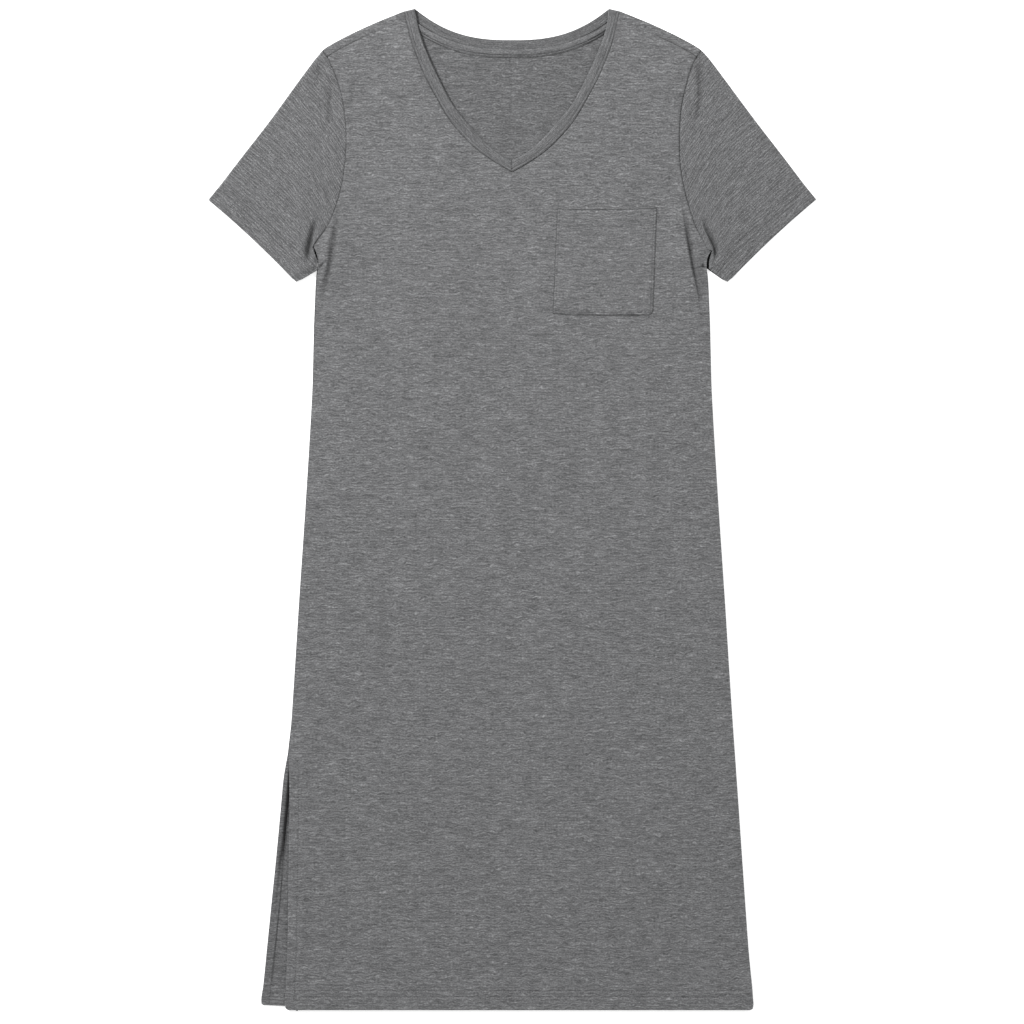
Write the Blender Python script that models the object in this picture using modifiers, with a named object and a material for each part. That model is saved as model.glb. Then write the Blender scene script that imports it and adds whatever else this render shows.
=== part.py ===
"""A V-neck T-shirt dress laid flat, face up, as the pieces it is cut and sewn from.

Units are metres. X runs across the dress with the wearer's right at -X, Y runs from the hem to the neck,
and Z is up from the surface that the dress lies on. Each piece is an open sheet, placed by its outline,
that a Solidify modifier gives its wall. Outlines are kept for the half at +X and mirrored by a side of
+1 or -1, because both halves of the dress are cut alike, apart from the slit on the wearer's right.
"""

import math

import bmesh
import bpy
import numpy as np

# Cloth
CLOTH = 0.0012  # one layer of jersey with its loft
TURNED = 0.0020  # two layers, pressed at a hem, a slit or the neckband
SEAM_GAP = 0.0003  # between neighbouring pieces
HALF_GAP = SEAM_GAP / 2
FOLD_CLEARANCE = 0.0007  # where a fold's inner layer swings towards its neighbour

# Lengths along the dress
HEM_Y = -0.5600
BACK_HEM_Y = -0.5585
BACK_HEM_LIFT = 0.0045  # how much higher the back's hem lies at the open slit
HEM_DEPTH = 0.0220
TURN_STEP = 0.0015  # over which a turning's wall thins to one layer
UNDERARM_Y = 0.2978
V_POINT_Y = 0.3787  # where the front's neckline meets the centre
BACK_NECK_Y = 0.5260  # the back neck's edge at the centre
NECK_TOP_Y = 0.5600
NECK_HALF_WIDTH = 0.1092
NECK_CURVE_POWER = 2.35
BAND_WIDTH = 0.0140
SLIT_TOP_Y = -0.2760
SHOULDER_WRAP = 0.0075  # the seam lies this far forward of the shoulder's fold
CUFF_DEPTH = 0.0220

# Heights above the surface
TOP_SINGLE = 2 * CLOTH + SEAM_GAP  # the front's face where it lies closest to the back
TOP_BODY = 0.0032
TOP_HEM = 2 * TURNED + SEAM_GAP
TOP_SHOULDER = 0.0044
TOP_NECK = 0.0050
TOP_CUFF = 0.0048
BAND_TOP_POINT = 0.0042  # the band's face at the V
BAND_TOP_NECK = 0.0057  # the band's face at the neck's fold
TAPE_BOTTOM = TURNED + SEAM_GAP
TAPE_WALL = 0.0011
POCKET_WALL = 0.0012

# Outlines of the half at +X, as (x, y)
SIDE_EDGE = (
    (0.2665, -0.5600),
    (0.2694, -0.5586),
    (0.2705, -0.5550),
    (0.2700, -0.5380),
    (0.2610, -0.4370),
    (0.2531, -0.3250),
    (0.2453, -0.2130),
    (0.2382, -0.1010),
    (0.2307, 0.0110),
    (0.2240, 0.1230),
    (0.2206, 0.2350),
    (0.2190, 0.2630),
    (0.2178, 0.2710),
    (0.2173, 0.2790),
    (0.2190, 0.2880),
    (0.2212, 0.2978),
)
FRONT_SLIT_EDGE = (
    (0.2498, -0.5600),
    (0.2526, -0.5586),
    (0.2537, -0.5550),
    (0.2532, -0.5380),
    (0.2522, -0.4960),
    (0.2511, -0.4310),
    (0.2500, -0.3870),
    (0.2490, -0.3440),
    (0.2492, -0.2930),
    (0.2497, -0.2760),
)
BACK_SLIT_EDGE = (
    (0.2766, -0.5585),
    (0.2800, -0.5570),
    (0.2808, -0.5540),
    (0.2794, -0.5380),
    (0.2744, -0.4930),
    (0.2688, -0.4370),
    (0.2632, -0.3810),
    (0.2587, -0.3250),
    (0.2497, -0.2760),
)
ARMHOLE = (
    (0.2215, 0.2978),
    (0.2098, 0.3143),
    (0.2004, 0.3331),
    (0.1921, 0.3591),
    (0.1874, 0.3826),
    (0.1850, 0.4109),
    (0.1850, 0.4297),
    (0.1874, 0.4581),
    (0.1921, 0.4769),
    (0.1980, 0.4934),
    (0.2051, 0.5076),
    (0.2090, 0.5163),
)
BACK_ARMHOLE = (
    (0.2215, 0.2978),
    (0.2060, 0.3240),
    (0.1975, 0.3600),
    (0.1945, 0.4000),
    (0.1950, 0.4400),
    (0.1985, 0.4800),
    (0.2090, 0.5163),
)
NECK_SEAM = (
    (0.0000, 0.3787),
    (0.0240, 0.3909),
    (0.0413, 0.4034),
    (0.0587, 0.4208),
    (0.0721, 0.4381),
    (0.0857, 0.4612),
    (0.0972, 0.4825),
    (0.1049, 0.4999),
    (0.1127, 0.5210),
    (0.1184, 0.5423),
    (0.1243, 0.5566),
)
NECK_EDGE = (
    (0.0000, 0.3909),
    (0.0143, 0.3995),
    (0.0297, 0.4120),
    (0.0413, 0.4246),
    (0.0529, 0.4381),
    (0.0625, 0.4497),
    (0.0721, 0.4651),
    (0.0818, 0.4844),
    (0.0914, 0.5056),
    (0.1011, 0.5307),
    (0.1039, 0.5403),
    (0.1092, 0.5600),
)
SHOULDER_FOLD = (
    (0.1243, 0.5566),
    (0.1546, 0.5443),
    (0.1837, 0.5309),
    (0.2090, 0.5163),
)
SLEEVE_FOLD = (
    (0.2090, 0.5163),
    (0.2128, 0.5130),
    (0.2218, 0.5040),
    (0.2374, 0.4816),
    (0.2699, 0.4368),
    (0.3046, 0.3920),
    (0.3252, 0.3651),
)
CUFF_TOP = (0.3394, 0.3483)
CUFF_BOTTOM = (0.2397, 0.2554)
CUFF_LINE_BOTTOM = (0.2204, 0.2680)  # the cuff's turning meets the underarm here
SLEEVE_TUCK = ((0.2222, 0.2973), (0.2214, 0.2900), (0.2203, 0.2830))  # beside the body
TUCK_SHARES = (0.855, 0.935, 1.0)  # where lines from the tuck reach the cuff's turning

POCKET_CORNERS = ((0.0465, 0.2195), (0.1577, 0.2205), (0.1618, 0.3390), (0.0515, 0.3380))
POCKET_SAG = 0.0016  # how far the pocket's top edge hangs below a straight line
POCKET_INSIDE = 0.0500  # the pocket's nearest distance from the front's side

# Soft folds: (side, depth, half width, points along the fold)
BODY_FOLDS = (
    (-1, 0.0013, 0.0060, ((0.1956, 0.3259), (0.2010, 0.2878), (0.2065, 0.2576), (0.2128, 0.2240))),
    (1, 0.0016, 0.0060, ((0.1926, 0.3304), (0.1971, 0.3013), (0.2034, 0.2660), (0.2117, 0.2128))),
)
SLEEVE_FOLDS = (
    (-1, 0.0010, 0.0070, ((0.2184, 0.3304), (0.2240, 0.3046), (0.2285, 0.2733))),
    (1, 0.0012, 0.0070, ((0.2137, 0.3203), (0.2240, 0.2990), (0.2283, 0.2845))),
)
PUFF = (0.2030, 0.2750, 0.0240, 0.0600, 0.0013)  # a swell by the underarm: x, y, two radii, height

# Counts of rows and columns
ARM_ROWS_LOW = 6  # from the underarm to the level of the V
ARM_ROWS_HIGH = 13  # from there to the shoulder
BACK_CENTRE_ROWS = 5  # of the high rows, the ones that start on the back's centre line
FOLD_STEPS = 3  # from a fold's edge to its flat, on each side
SLEEVE_ROWS = 6
ARMHOLE_LAST_STEP = 0.0140  # between the last two seam points above the underarm
FRONT_COLUMNS = (0, 0.10, 0.175, 0.25, 0.335, 0.42, 0.50, 0.585, 0.67, 0.75, 0.82, 0.88, 0.925, 0.962, 1)
BACK_COLUMNS = (0, 0.125, 0.25, 0.375, 0.50, 0.625, 0.75, 0.875, 0.955, 0.962, 1)
TURN_COLUMN = 0.962  # from this share of the width outwards, a slit is turned in

JERSEY_GREY = (0.188, 0.189, 0.193, 1.0)
BACK_INSIDE_GREY = (0.174, 0.174, 0.178, 1.0)
JERSEY_ROUGHNESS = 0.92


def smooth_line(points, per_span=16):
    """A fine polyline on a smooth curve through the points."""
    knots = np.array(points, dtype=float)
    along = np.concatenate(([0.0], np.cumsum(np.linalg.norm(np.diff(knots, axis=0), axis=1))))
    slopes = np.gradient(knots, along, axis=0)
    line = []
    for i in range(len(knots) - 1):
        span = along[i + 1] - along[i]
        for t in np.linspace(0.0, 1.0, per_span, endpoint=False):
            start = (2 * t**3 - 3 * t**2 + 1) * knots[i] + (t**3 - 2 * t**2 + t) * span * slopes[i]
            end = (3 * t**2 - 2 * t**3) * knots[i + 1] + (t**3 - t**2) * span * slopes[i + 1]
            line.append(start + end)
    line.append(knots[-1])
    return np.array(line)


def lengths(line):
    """Distance along a polyline at each of its points."""
    return np.concatenate(([0.0], np.cumsum(np.linalg.norm(np.diff(line, axis=0), axis=1))))


def at_distance(line, distance):
    """The point of a polyline at a distance from its start."""
    along = lengths(line)
    return np.array([np.interp(distance, along, line[:, 0]), np.interp(distance, along, line[:, 1])])


def stations(line, spans):
    """Evenly spaced points along a polyline."""
    total = lengths(line)[-1]
    return np.array([at_distance(line, total * i / spans) for i in range(spans + 1)])


def part_between(line, low_y, high_y):
    """The stretch of a line, rising in Y, between two heights."""
    inner = line[(line[:, 1] > low_y + 1e-6) & (line[:, 1] < high_y - 1e-6)]
    ends = [[np.interp(y, line[:, 1], line[:, 0]), y] for y in (low_y, high_y)]
    return np.vstack((ends[0], inner, ends[1]))


def moved_out(line, distance):
    """A polyline moved sideways, to the right of its own direction."""
    ahead = np.gradient(line, axis=0)
    ahead /= np.linalg.norm(ahead, axis=1)[:, None]
    return line + distance * np.column_stack((ahead[:, 1], -ahead[:, 0]))


def x_at(table, y):
    """The half width that an outline has at a height."""
    line = smooth_line(table)
    return float(np.interp(y, line[:, 1], line[:, 0]))


def ease(value):
    """A smooth step from 0 to 1."""
    t = min(max(value, 0.0), 1.0)
    return t * t * (3 - 2 * t)


def distance_to(point, line):
    """How far a point is from a polyline."""
    nearest = 1.0
    for start, end in zip(line[:-1], line[1:]):
        run = end - start
        share = np.clip(np.dot(point - start, run) / np.dot(run, run), 0.0, 1.0)
        nearest = min(nearest, float(np.linalg.norm(point - start - share * run)))
    return nearest


def fold_depth(folds, side, x, y):
    """How deep the soft folds of one side are at a point of the half at +X."""
    depth = 0.0
    for fold_side, deep, half_width, points in folds:
        if fold_side == side:
            away = distance_to(np.array([x, y]), np.array(points))
            depth += deep * math.exp(-((away / half_width) ** 2))
    return depth


def arc_steps(radius):
    """Distance from a fold's edge and height, from the lower flat round to the upper flat."""
    angles = np.linspace(-math.pi / 2, math.pi / 2, 2 * FOLD_STEPS + 1)
    return [(radius * (1 - math.cos(a)), radius * (1 + math.sin(a))) for a in angles]


def new_object(name, mesh_data, colour, wall):
    """An object with its own material and a wall inside its outer face."""
    mesh = bpy.data.meshes.new(name)
    mesh_data.to_mesh(mesh)
    mesh_data.free()
    mesh.shade_smooth()
    piece = bpy.data.objects.new(name, mesh)
    material = bpy.data.materials.new(name)
    material.use_nodes = True
    shader = material.node_tree.nodes["Principled BSDF"]
    shader.inputs["Base Color"].default_value = colour
    shader.inputs["Roughness"].default_value = JERSEY_ROUGHNESS
    shader.inputs["Metallic"].default_value = 0.0
    mesh.materials.append(material)
    piece.vertex_groups.new(name="wall")
    solidify = piece.modifiers.new("wall", "SOLIDIFY")
    solidify.thickness = wall
    solidify.offset = -1.0
    solidify.vertex_group = "wall"
    dress.objects.link(piece)
    return piece


def add_sheet(mesh_data, columns, rows, place, flip):
    """Add a grid whose points are placed by (column, row), each with its share of the full wall."""
    share = mesh_data.verts.layers.deform.verify()
    made = bmesh.ops.create_grid(mesh_data, x_segments=columns, y_segments=rows, size=1.0)
    for vert in made["verts"]:
        column = round((vert.co.x + 1) / 2 * columns)
        row = round((vert.co.y + 1) / 2 * rows)
        position, wall_share = place(column, row)
        vert.co = position
        vert[share][0] = wall_share
    if flip:
        faces = {face for vert in made["verts"] for face in vert.link_faces}
        bmesh.ops.reverse_faces(mesh_data, faces=list(faces))


def weld_centre(mesh_data):
    """Join two halves where their points meet."""
    bmesh.ops.remove_doubles(mesh_data, verts=mesh_data.verts, dist=0.00001)


ARMHOLE_LINE = smooth_line(ARMHOLE)
BACK_ARMHOLE_LINE = smooth_line(BACK_ARMHOLE)
SHOULDER_LINE = smooth_line(SHOULDER_FOLD)
NECK_SEAM_LINE = smooth_line(NECK_SEAM)
NECK_EDGE_LINE = smooth_line(NECK_EDGE)


def nodes_to_fold(line, spans, tip):
    """Evenly spaced points until the shoulder's wrap is left, and the tip on the fold."""
    cut = lengths(line)[-1] - SHOULDER_WRAP
    return np.array([at_distance(line, cut * i / spans) for i in range(spans + 1)] + [tip])


def armhole_nodes(line):
    """The seam points that a panel and its sleeve share, from the underarm to the shoulder's tip."""
    low = stations(part_between(line, UNDERARM_Y, V_POINT_Y), ARM_ROWS_LOW)
    high = nodes_to_fold(part_between(line, V_POINT_Y, line[-1][1]), ARM_ROWS_HIGH, line[-1])
    return np.vstack((low, high[1:]))


def beside_seam(nodes, distance, tip):
    """Seam points moved to one side of the seam, ending on a tip of their own."""
    moved = moved_out(nodes, distance)
    moved[-1] = tip
    return moved


def fold_tips(distance):
    """The shoulder fold's two ends, moved along it by a distance: the neck's, then the armhole's."""
    total = lengths(SHOULDER_LINE)[-1]
    start = SHOULDER_LINE[0] + distance * (SHOULDER_LINE[1] - SHOULDER_LINE[0]) / lengths(SHOULDER_LINE)[1]
    return start, at_distance(SHOULDER_LINE, total - distance)


def shoulder_seam():
    """The forward shoulder seam: the fold moved onto the front, ending on the neck seam and the armhole."""
    start = at_distance(NECK_SEAM_LINE, lengths(NECK_SEAM_LINE)[-1] - SHOULDER_WRAP)
    end = at_distance(ARMHOLE_LINE, lengths(ARMHOLE_LINE)[-1] - SHOULDER_WRAP)
    middle = moved_out(SHOULDER_LINE, SHOULDER_WRAP)[8:-8]
    return np.vstack((start, middle, end))


def back_neck_edge():
    """The edge of the back neck from the centre to the neck's fold."""
    shares = np.linspace(0.0, 1.0, 49)
    rise = (NECK_TOP_Y - BACK_NECK_Y) * shares**NECK_CURVE_POWER
    return np.column_stack((NECK_HALF_WIDTH * shares, BACK_NECK_Y + rise))


def back_neck_seam():
    """The back's neckline, a band's width from the neck's edge, ending where the shoulder's fold starts."""
    line = moved_out(back_neck_edge(), BAND_WIDTH)
    line[0][0] = 0.0
    line[:, 0] *= SHOULDER_FOLD[0][0] / line[-1][0]
    line[:, 1] += np.linspace(0.0, 1.0, len(line)) ** 3 * (SHOULDER_FOLD[0][1] - line[-1][1])
    return line


def front_edge_x(side, y):
    """The front's half width below the underarm."""
    slit = side < 0 and y < SLIT_TOP_Y
    return x_at(FRONT_SLIT_EDGE if slit else SIDE_EDGE, y)


def back_edge_x(side, y):
    """The back's half width below the underarm."""
    slit = side < 0 and y < SLIT_TOP_Y
    return x_at(BACK_SLIT_EDGE if slit else SIDE_EDGE, y)


def front_top(side, x, y, inside):
    """Height of the front's outer face, inside being the distance from the panel's side."""
    height = TOP_BODY - (TOP_BODY - TOP_SINGLE) * math.exp(-inside / 0.008)
    centre_x, centre_y, radius_x, radius_y, swell = PUFF
    puff = swell * math.exp(-(((x - centre_x) / radius_x) ** 2) - ((y - centre_y) / radius_y) ** 2)
    height += puff * ease(inside / 0.012)
    height -= fold_depth(BODY_FOLDS, side, x, y) * ease(inside / 0.008)
    neck = ease((y - 0.44) / 0.10) * ease((0.185 - x) / 0.08)
    shoulder = ease((y - 0.42) / 0.09)
    height += (TOP_SHOULDER - TOP_BODY) * shoulder + (TOP_NECK - TOP_SHOULDER) * neck
    turned = ease((HEM_Y + HEM_DEPTH + 0.018 - y) / 0.016)
    if side < 0:
        turned = max(turned, ease((0.030 - inside) / 0.016) * ease((SLIT_TOP_Y + 0.020 - y) / 0.03))
    height += (TOP_HEM - height) * turned
    return max(height, TOP_SINGLE)


def front_wall(side, y, column):
    """The share of the full wall that the front has at a point."""
    turned = y <= HEM_Y + HEM_DEPTH + 1e-6
    if side < 0 and y < SLIT_TOP_Y:
        turned = turned or column >= TURN_COLUMN
    return 1.0 if turned else CLOTH / TURNED


def body_levels(hem_y, spans_below, spans_above):
    """Heights of the rows that run straight across, from the hem to the underarm."""
    top = hem_y + HEM_DEPTH
    edge = [hem_y, hem_y + 0.0014, hem_y + 0.0050, top, top + TURN_STEP]
    below = list(np.linspace(top + TURN_STEP, SLIT_TOP_Y, spans_below + 1))[1:]
    above = list(np.linspace(SLIT_TOP_Y, SIDE_EDGE[10][1], spans_above + 1))[1:]
    return edge + below + above + [point[1] for point in SIDE_EDGE[11:]]


def build_front():
    """The front: hem to V along the centre, then the neckline, the shoulder seams and the armholes."""
    levels = body_levels(HEM_Y, 9, 17)
    neck_tip, arm_tip = fold_tips(HALF_GAP)
    arm = beside_seam(armhole_nodes(ARMHOLE_LINE), -HALF_GAP, arm_tip)[:-1]
    neck = beside_seam(nodes_to_fold(NECK_SEAM_LINE, ARM_ROWS_HIGH, neck_tip), HALF_GAP, neck_tip)[:-1]
    neck[0] = (0.0, V_POINT_Y - 2 * SEAM_GAP)
    seam = np.vstack((neck[-1], shoulder_seam()[1:-1], arm[-1]))
    low = len(levels) + ARM_ROWS_LOW

    def place(side, column, row):
        share = FRONT_COLUMNS[column]
        if row < len(levels):
            inner = np.array([0.0, levels[row]])
            outer = np.array([front_edge_x(side, levels[row]), levels[row]])
        elif row < low:
            outer = arm[row - len(levels) + 1]
            inner = np.array([0.0, min(outer[1], neck[0][1])])
        else:
            inner, outer = neck[row - low + 1], arm[row - len(levels) + 1]
        point = inner + (outer - inner) * share
        if row >= low:
            bow = at_distance(seam, lengths(seam)[-1] * share) - (neck[-1] + (arm[-1] - neck[-1]) * share)
            point = point + bow * ((row - low + 1) / ARM_ROWS_HIGH) ** 2
        inside = float(np.linalg.norm(outer - point))
        height = front_top(side, point[0], point[1], inside)
        return (side * point[0], point[1], height), front_wall(side, point[1], share)

    front = bmesh.new()
    for side in (1, -1):
        rows = low + ARM_ROWS_HIGH - 1
        add_sheet(front, len(FRONT_COLUMNS) - 1, rows, lambda c, r, s=side: place(s, c, r), side < 0)
    weld_centre(front)
    return new_object("front_panel", front, JERSEY_GREY, TURNED)


def back_wall(side, level, column):
    """The share of the full wall that the back has at a point of a row."""
    turned = level <= BACK_HEM_Y + HEM_DEPTH + 1e-6
    if side < 0 and level < SLIT_TOP_Y:
        turned = turned or column >= TURN_COLUMN
    return 1.0 if turned else CLOTH / TURNED


def build_back():
    """The back: flat on the surface, then round the shoulder's fold to the forward seam."""
    levels = body_levels(BACK_HEM_Y, 4, 6)
    neck_tip, arm_tip = fold_tips(HALF_GAP)
    neck_rows = ARM_ROWS_HIGH - BACK_CENTRE_ROWS
    arm = beside_seam(armhole_nodes(BACK_ARMHOLE_LINE), -HALF_GAP, arm_tip)
    neck = beside_seam(nodes_to_fold(back_neck_seam(), neck_rows, neck_tip), HALF_GAP, neck_tip)
    neck[0][0] = 0.0
    front_arm = beside_seam(armhole_nodes(ARMHOLE_LINE), -HALF_GAP, arm_tip)
    front_neck = beside_seam(nodes_to_fold(NECK_SEAM_LINE, ARM_ROWS_HIGH, neck_tip), HALF_GAP, neck_tip)
    centre = [np.array([0.0, y]) for y in np.linspace(V_POINT_Y, neck[0][1], BACK_CENTRE_ROWS + 1)]
    inner_high = centre[1:] + list(neck[1:-1])
    seam = shoulder_seam()
    low = len(levels) + ARM_ROWS_LOW
    flat = low + ARM_ROWS_HIGH
    radius = TOP_SHOULDER / 2
    folds = arc_steps(radius)
    wraps = [SHOULDER_WRAP * 0.6, SHOULDER_WRAP - SEAM_GAP]
    single = CLOTH / TURNED

    def near_fold(share, distance, height):
        """A point at a distance from the fold, on the back below it or on the front above it."""
        if share in (0, 1):
            below, above = ((neck, front_neck), (arm, front_arm))[share]
            return at_distance((below if height < radius else above)[::-1], distance)
        fold = at_distance(SHOULDER_LINE, lengths(SHOULDER_LINE)[-1] * share)
        end = at_distance(seam, lengths(seam)[-1] * share)
        return fold + (end - fold) * distance / SHOULDER_WRAP

    def place(side, column, row):
        share = BACK_COLUMNS[column]
        height, wall = 0.0, single
        if row < len(levels):
            level = levels[row]
            point = np.array([back_edge_x(side, level) * share, level])
            wall = back_wall(side, level, share)
            if side < 0:
                point[1] += BACK_HEM_LIFT * share**3 * ease((-0.40 - level) / 0.15)
        elif row < low:
            outer = arm[row - len(levels) + 1]
            point = np.array([outer[0] * share, outer[1]])
        elif row < flat:
            outer = arm[row - len(levels) + 1]
            point = inner_high[row - low] + (outer - inner_high[row - low]) * share
            ends = inner_high[-1] + (arm[-2] - inner_high[-1]) * share
            bow = near_fold(share, SHOULDER_WRAP, 0.0) - ends
            point = point + bow * ((row - low + 1) / ARM_ROWS_HIGH) ** 2
        else:
            step = row - flat
            distance, height = (folds + [(wrap, 2 * radius) for wrap in wraps])[step]
            point = near_fold(share, distance, height)
        return (side * point[0], point[1], height), wall

    back = bmesh.new()
    rows = flat + len(folds) + len(wraps) - 1
    for side in (1, -1):
        add_sheet(back, len(BACK_COLUMNS) - 1, rows, lambda c, r, s=side: place(s, c, r), side > 0)
    weld_centre(back)
    return new_object("back_panel", back, BACK_INSIDE_GREY, TURNED)


def sleeve_top(side, point, along, across):
    """Height of a sleeve's upper face."""
    at_arm = TOP_SHOULDER + (TOP_SINGLE + 0.0003 - TOP_SHOULDER) * ease(across)
    height = at_arm + (TOP_CUFF - at_arm) * ease(along)
    height += 0.0008 * math.sin(math.pi * along) * math.sin(math.pi * across)
    height -= fold_depth(SLEEVE_FOLDS, side, point[0], point[1])
    return max(height, TOP_SINGLE + (TOP_HEM - TOP_SINGLE) * ease((along - 0.6) / 0.4))


def build_sleeve(name, side):
    """A sleeve folded along its top: under layer, fold, upper layer, open at the cuff and the armhole."""
    fold_line = smooth_line(SLEEVE_FOLD)
    fold_line[0] = at_distance(fold_line, FOLD_CLEARANCE)
    turn_line = np.array([fold_line[-1], CUFF_LINE_BOTTOM])
    edge_line = np.array([CUFF_TOP, CUFF_BOTTOM])
    arms, arm_shares = {}, {}
    for layer, line in (("under", BACK_ARMHOLE_LINE), ("upper", ARMHOLE_LINE)):
        seam = beside_seam(armhole_nodes(line), HALF_GAP, fold_line[0])[::-1][:-1]
        sewn = lengths(seam) / (lengths(seam)[-1] + ARMHOLE_LAST_STEP)
        arms[layer] = np.vstack((seam, SLEEVE_TUCK))
        arm_shares[layer] = np.concatenate((sewn * TUCK_SHARES[0], TUCK_SHARES))
    flat_count = len(arms["upper"]) - 1
    centre = flat_count + FOLD_STEPS
    columns = 2 * centre

    def on_row(layer, along, across):
        """A point on the straight line from an armhole's point to its place on the cuff's turning."""
        arm = arms[layer]
        shares = arm_shares[layer]
        start = np.array([np.interp(across, shares, arm[:, 0]), np.interp(across, shares, arm[:, 1])])
        end = turn_line[0] + (turn_line[1] - turn_line[0]) * across
        bow = at_distance(fold_line, lengths(fold_line)[-1] * along)
        bow = bow - (fold_line[0] + (fold_line[-1] - fold_line[0]) * along)
        return start + (end - start) * along + bow * (1 - across) ** 2

    def on_cuff(turn, across):
        """A point on the straight line from the cuff's turning to its edge."""
        start = turn_line[0] + (turn_line[1] - turn_line[0]) * across
        return start + (edge_line[0] + (edge_line[1] - edge_line[0]) * across - start) * turn

    def place(column, row):
        upper = column > centre
        layer = "upper" if upper else "under"
        along = min(row / SLEEVE_ROWS, 1.0)
        radius = (TOP_SHOULDER + (TOP_CUFF - TOP_SHOULDER) * ease(along)) / 2
        turn = max(row - SLEEVE_ROWS, 0) / 2
        steps_out = abs(column - centre)
        if steps_out <= FOLD_STEPS:
            distance, height = arc_steps(radius)[column - centre + FOLD_STEPS]
            per_share = np.linalg.norm(on_row(layer, along, 0.02) - on_row(layer, along, 0.0)) / 0.02
            across = distance / per_share
        else:
            across, height = arm_shares[layer][steps_out - FOLD_STEPS], 0.0
        point = on_cuff(turn, across) if row > SLEEVE_ROWS else on_row(layer, along, across)
        if upper and steps_out > FOLD_STEPS:
            height = sleeve_top(side, point, along, across)
        share = 1.0 if row >= SLEEVE_ROWS else CLOTH / TURNED
        return (side * point[0], point[1], height), share

    sleeve = bmesh.new()
    add_sheet(sleeve, columns, SLEEVE_ROWS + 2, place, side < 0)
    return new_object(name, sleeve, JERSEY_GREY, TURNED)


def build_neckband():
    """One folded strip: from the V up the front, over the neck's fold, round the back and down again."""
    back_rows = ARM_ROWS_HIGH - BACK_CENTRE_ROWS
    tip = fold_tips(-FOLD_CLEARANCE)[0]
    front_seam = beside_seam(nodes_to_fold(NECK_SEAM_LINE, ARM_ROWS_HIGH, tip), -HALF_GAP, tip)
    back_seam = beside_seam(nodes_to_fold(back_neck_seam(), back_rows, tip), -HALF_GAP, tip)
    back_seam[0][0] = 0.0
    front_edge = nodes_to_fold(NECK_EDGE_LINE, ARM_ROWS_HIGH, NECK_EDGE_LINE[-1])
    back_edge = nodes_to_fold(back_neck_edge(), back_rows, NECK_EDGE_LINE[-1])
    radius = BAND_TOP_NECK / 2
    steps = [("back", i, None, 0.0) for i in range(back_rows + 1)]
    for distance, height in arc_steps(radius):
        steps.append(("back" if height < radius else "front", None, distance, height))
    for i in range(ARM_ROWS_HIGH, -1, -1):
        fall = ease((0.85 - i / ARM_ROWS_HIGH) / 0.6)
        steps.append(("front", i, None, BAND_TOP_NECK + (BAND_TOP_POINT - BAND_TOP_NECK) * fall))
    across = (0.0, 0.5, 1.0)

    def place(side, column, row):
        where, node, distance, height = steps[row]
        lines = (front_edge, front_seam) if where == "front" else (back_edge, back_seam)
        ends = [line[node] if distance is None else at_distance(line[::-1], distance) for line in lines]
        point = ends[0] + (ends[1] - ends[0]) * across[column]
        x = max(point[0], HALF_GAP) if where == "front" else point[0]
        return (side * x, point[1], height), 1.0

    band = bmesh.new()
    for side in (1, -1):
        add_sheet(band, len(across) - 1, len(steps) - 1, lambda c, r, s=side: place(s, c, r), side > 0)
    weld_centre(band)
    return new_object("neckband", band, JERSEY_GREY, TURNED)


def build_neck_tape():
    """The tape over the back neck's seam, on the inside, with its ends under the front's band."""
    starts_below, wide = 0.0100, 0.0100
    edge = back_neck_edge()
    reach = 0.88 * lengths(edge)[-1]
    spans = 10
    drops = ((0.0, TAPE_BOTTOM), (0.45, TAPE_BOTTOM), (1.0, CLOTH + SEAM_GAP))

    def place(side, column, row):
        share, bottom = drops[column]
        line = moved_out(edge, starts_below + wide * share)
        line[0][0] = 0.0
        total = lengths(line)[-1] * reach / lengths(edge)[-1]
        point = at_distance(line, total * row / spans)
        return (side * point[0], point[1], bottom + TAPE_WALL), 1.0

    tape = bmesh.new()
    for side in (1, -1):
        add_sheet(tape, len(drops) - 1, spans, lambda c, r, s=side: place(s, c, r), side < 0)
    weld_centre(tape)
    return new_object("neck_tape", tape, JERSEY_GREY, TAPE_WALL)


def build_pocket():
    """The chest pocket, made from the front's face and moved out."""
    low_in, low_out, high_out, high_in = (np.array(corner) for corner in POCKET_CORNERS)
    columns, rows = 8, 8

    def place(column, row):
        u, v = column / columns, row / rows
        low = low_in + (low_out - low_in) * u
        high = high_in + (high_out - high_in) * u
        high = high - np.array([0.0, POCKET_SAG * math.sin(math.pi * u)])
        point = low + (high - low) * v
        face = front_top(1, point[0], point[1], POCKET_INSIDE)
        return (point[0], point[1], face + SEAM_GAP + POCKET_WALL), 1.0

    pocket = bmesh.new()
    add_sheet(pocket, columns, rows, place, False)
    return new_object("chest_pocket", pocket, JERSEY_GREY, POCKET_WALL)


for leftover in list(bpy.data.objects):
    bpy.data.objects.remove(leftover, do_unlink=True)
dress = bpy.data.collections.new("t_shirt_dress")
bpy.context.scene.collection.children.link(dress)

build_back()
build_front()
build_sleeve("sleeve_right", -1)
build_sleeve("sleeve_left", 1)
build_neckband()
build_neck_tape()
build_pocket()
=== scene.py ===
"""A heather grey jersey T-shirt dress, laid flat and face up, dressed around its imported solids.

Units are metres. X runs across the dress with the wearer's right at -X, Y runs from the hem to the neck,
and Z is up from the surface. Each piece of cloth is a grid of points with a wall inside it, on the form of
the solid that it stands for. Outlines are kept for the half at +X, and a side's sign mirrors them.
"""

from __future__ import annotations

import logging
import math
from collections.abc import Sequence
from dataclasses import dataclass, field
from enum import Enum
from typing import Any

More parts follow.
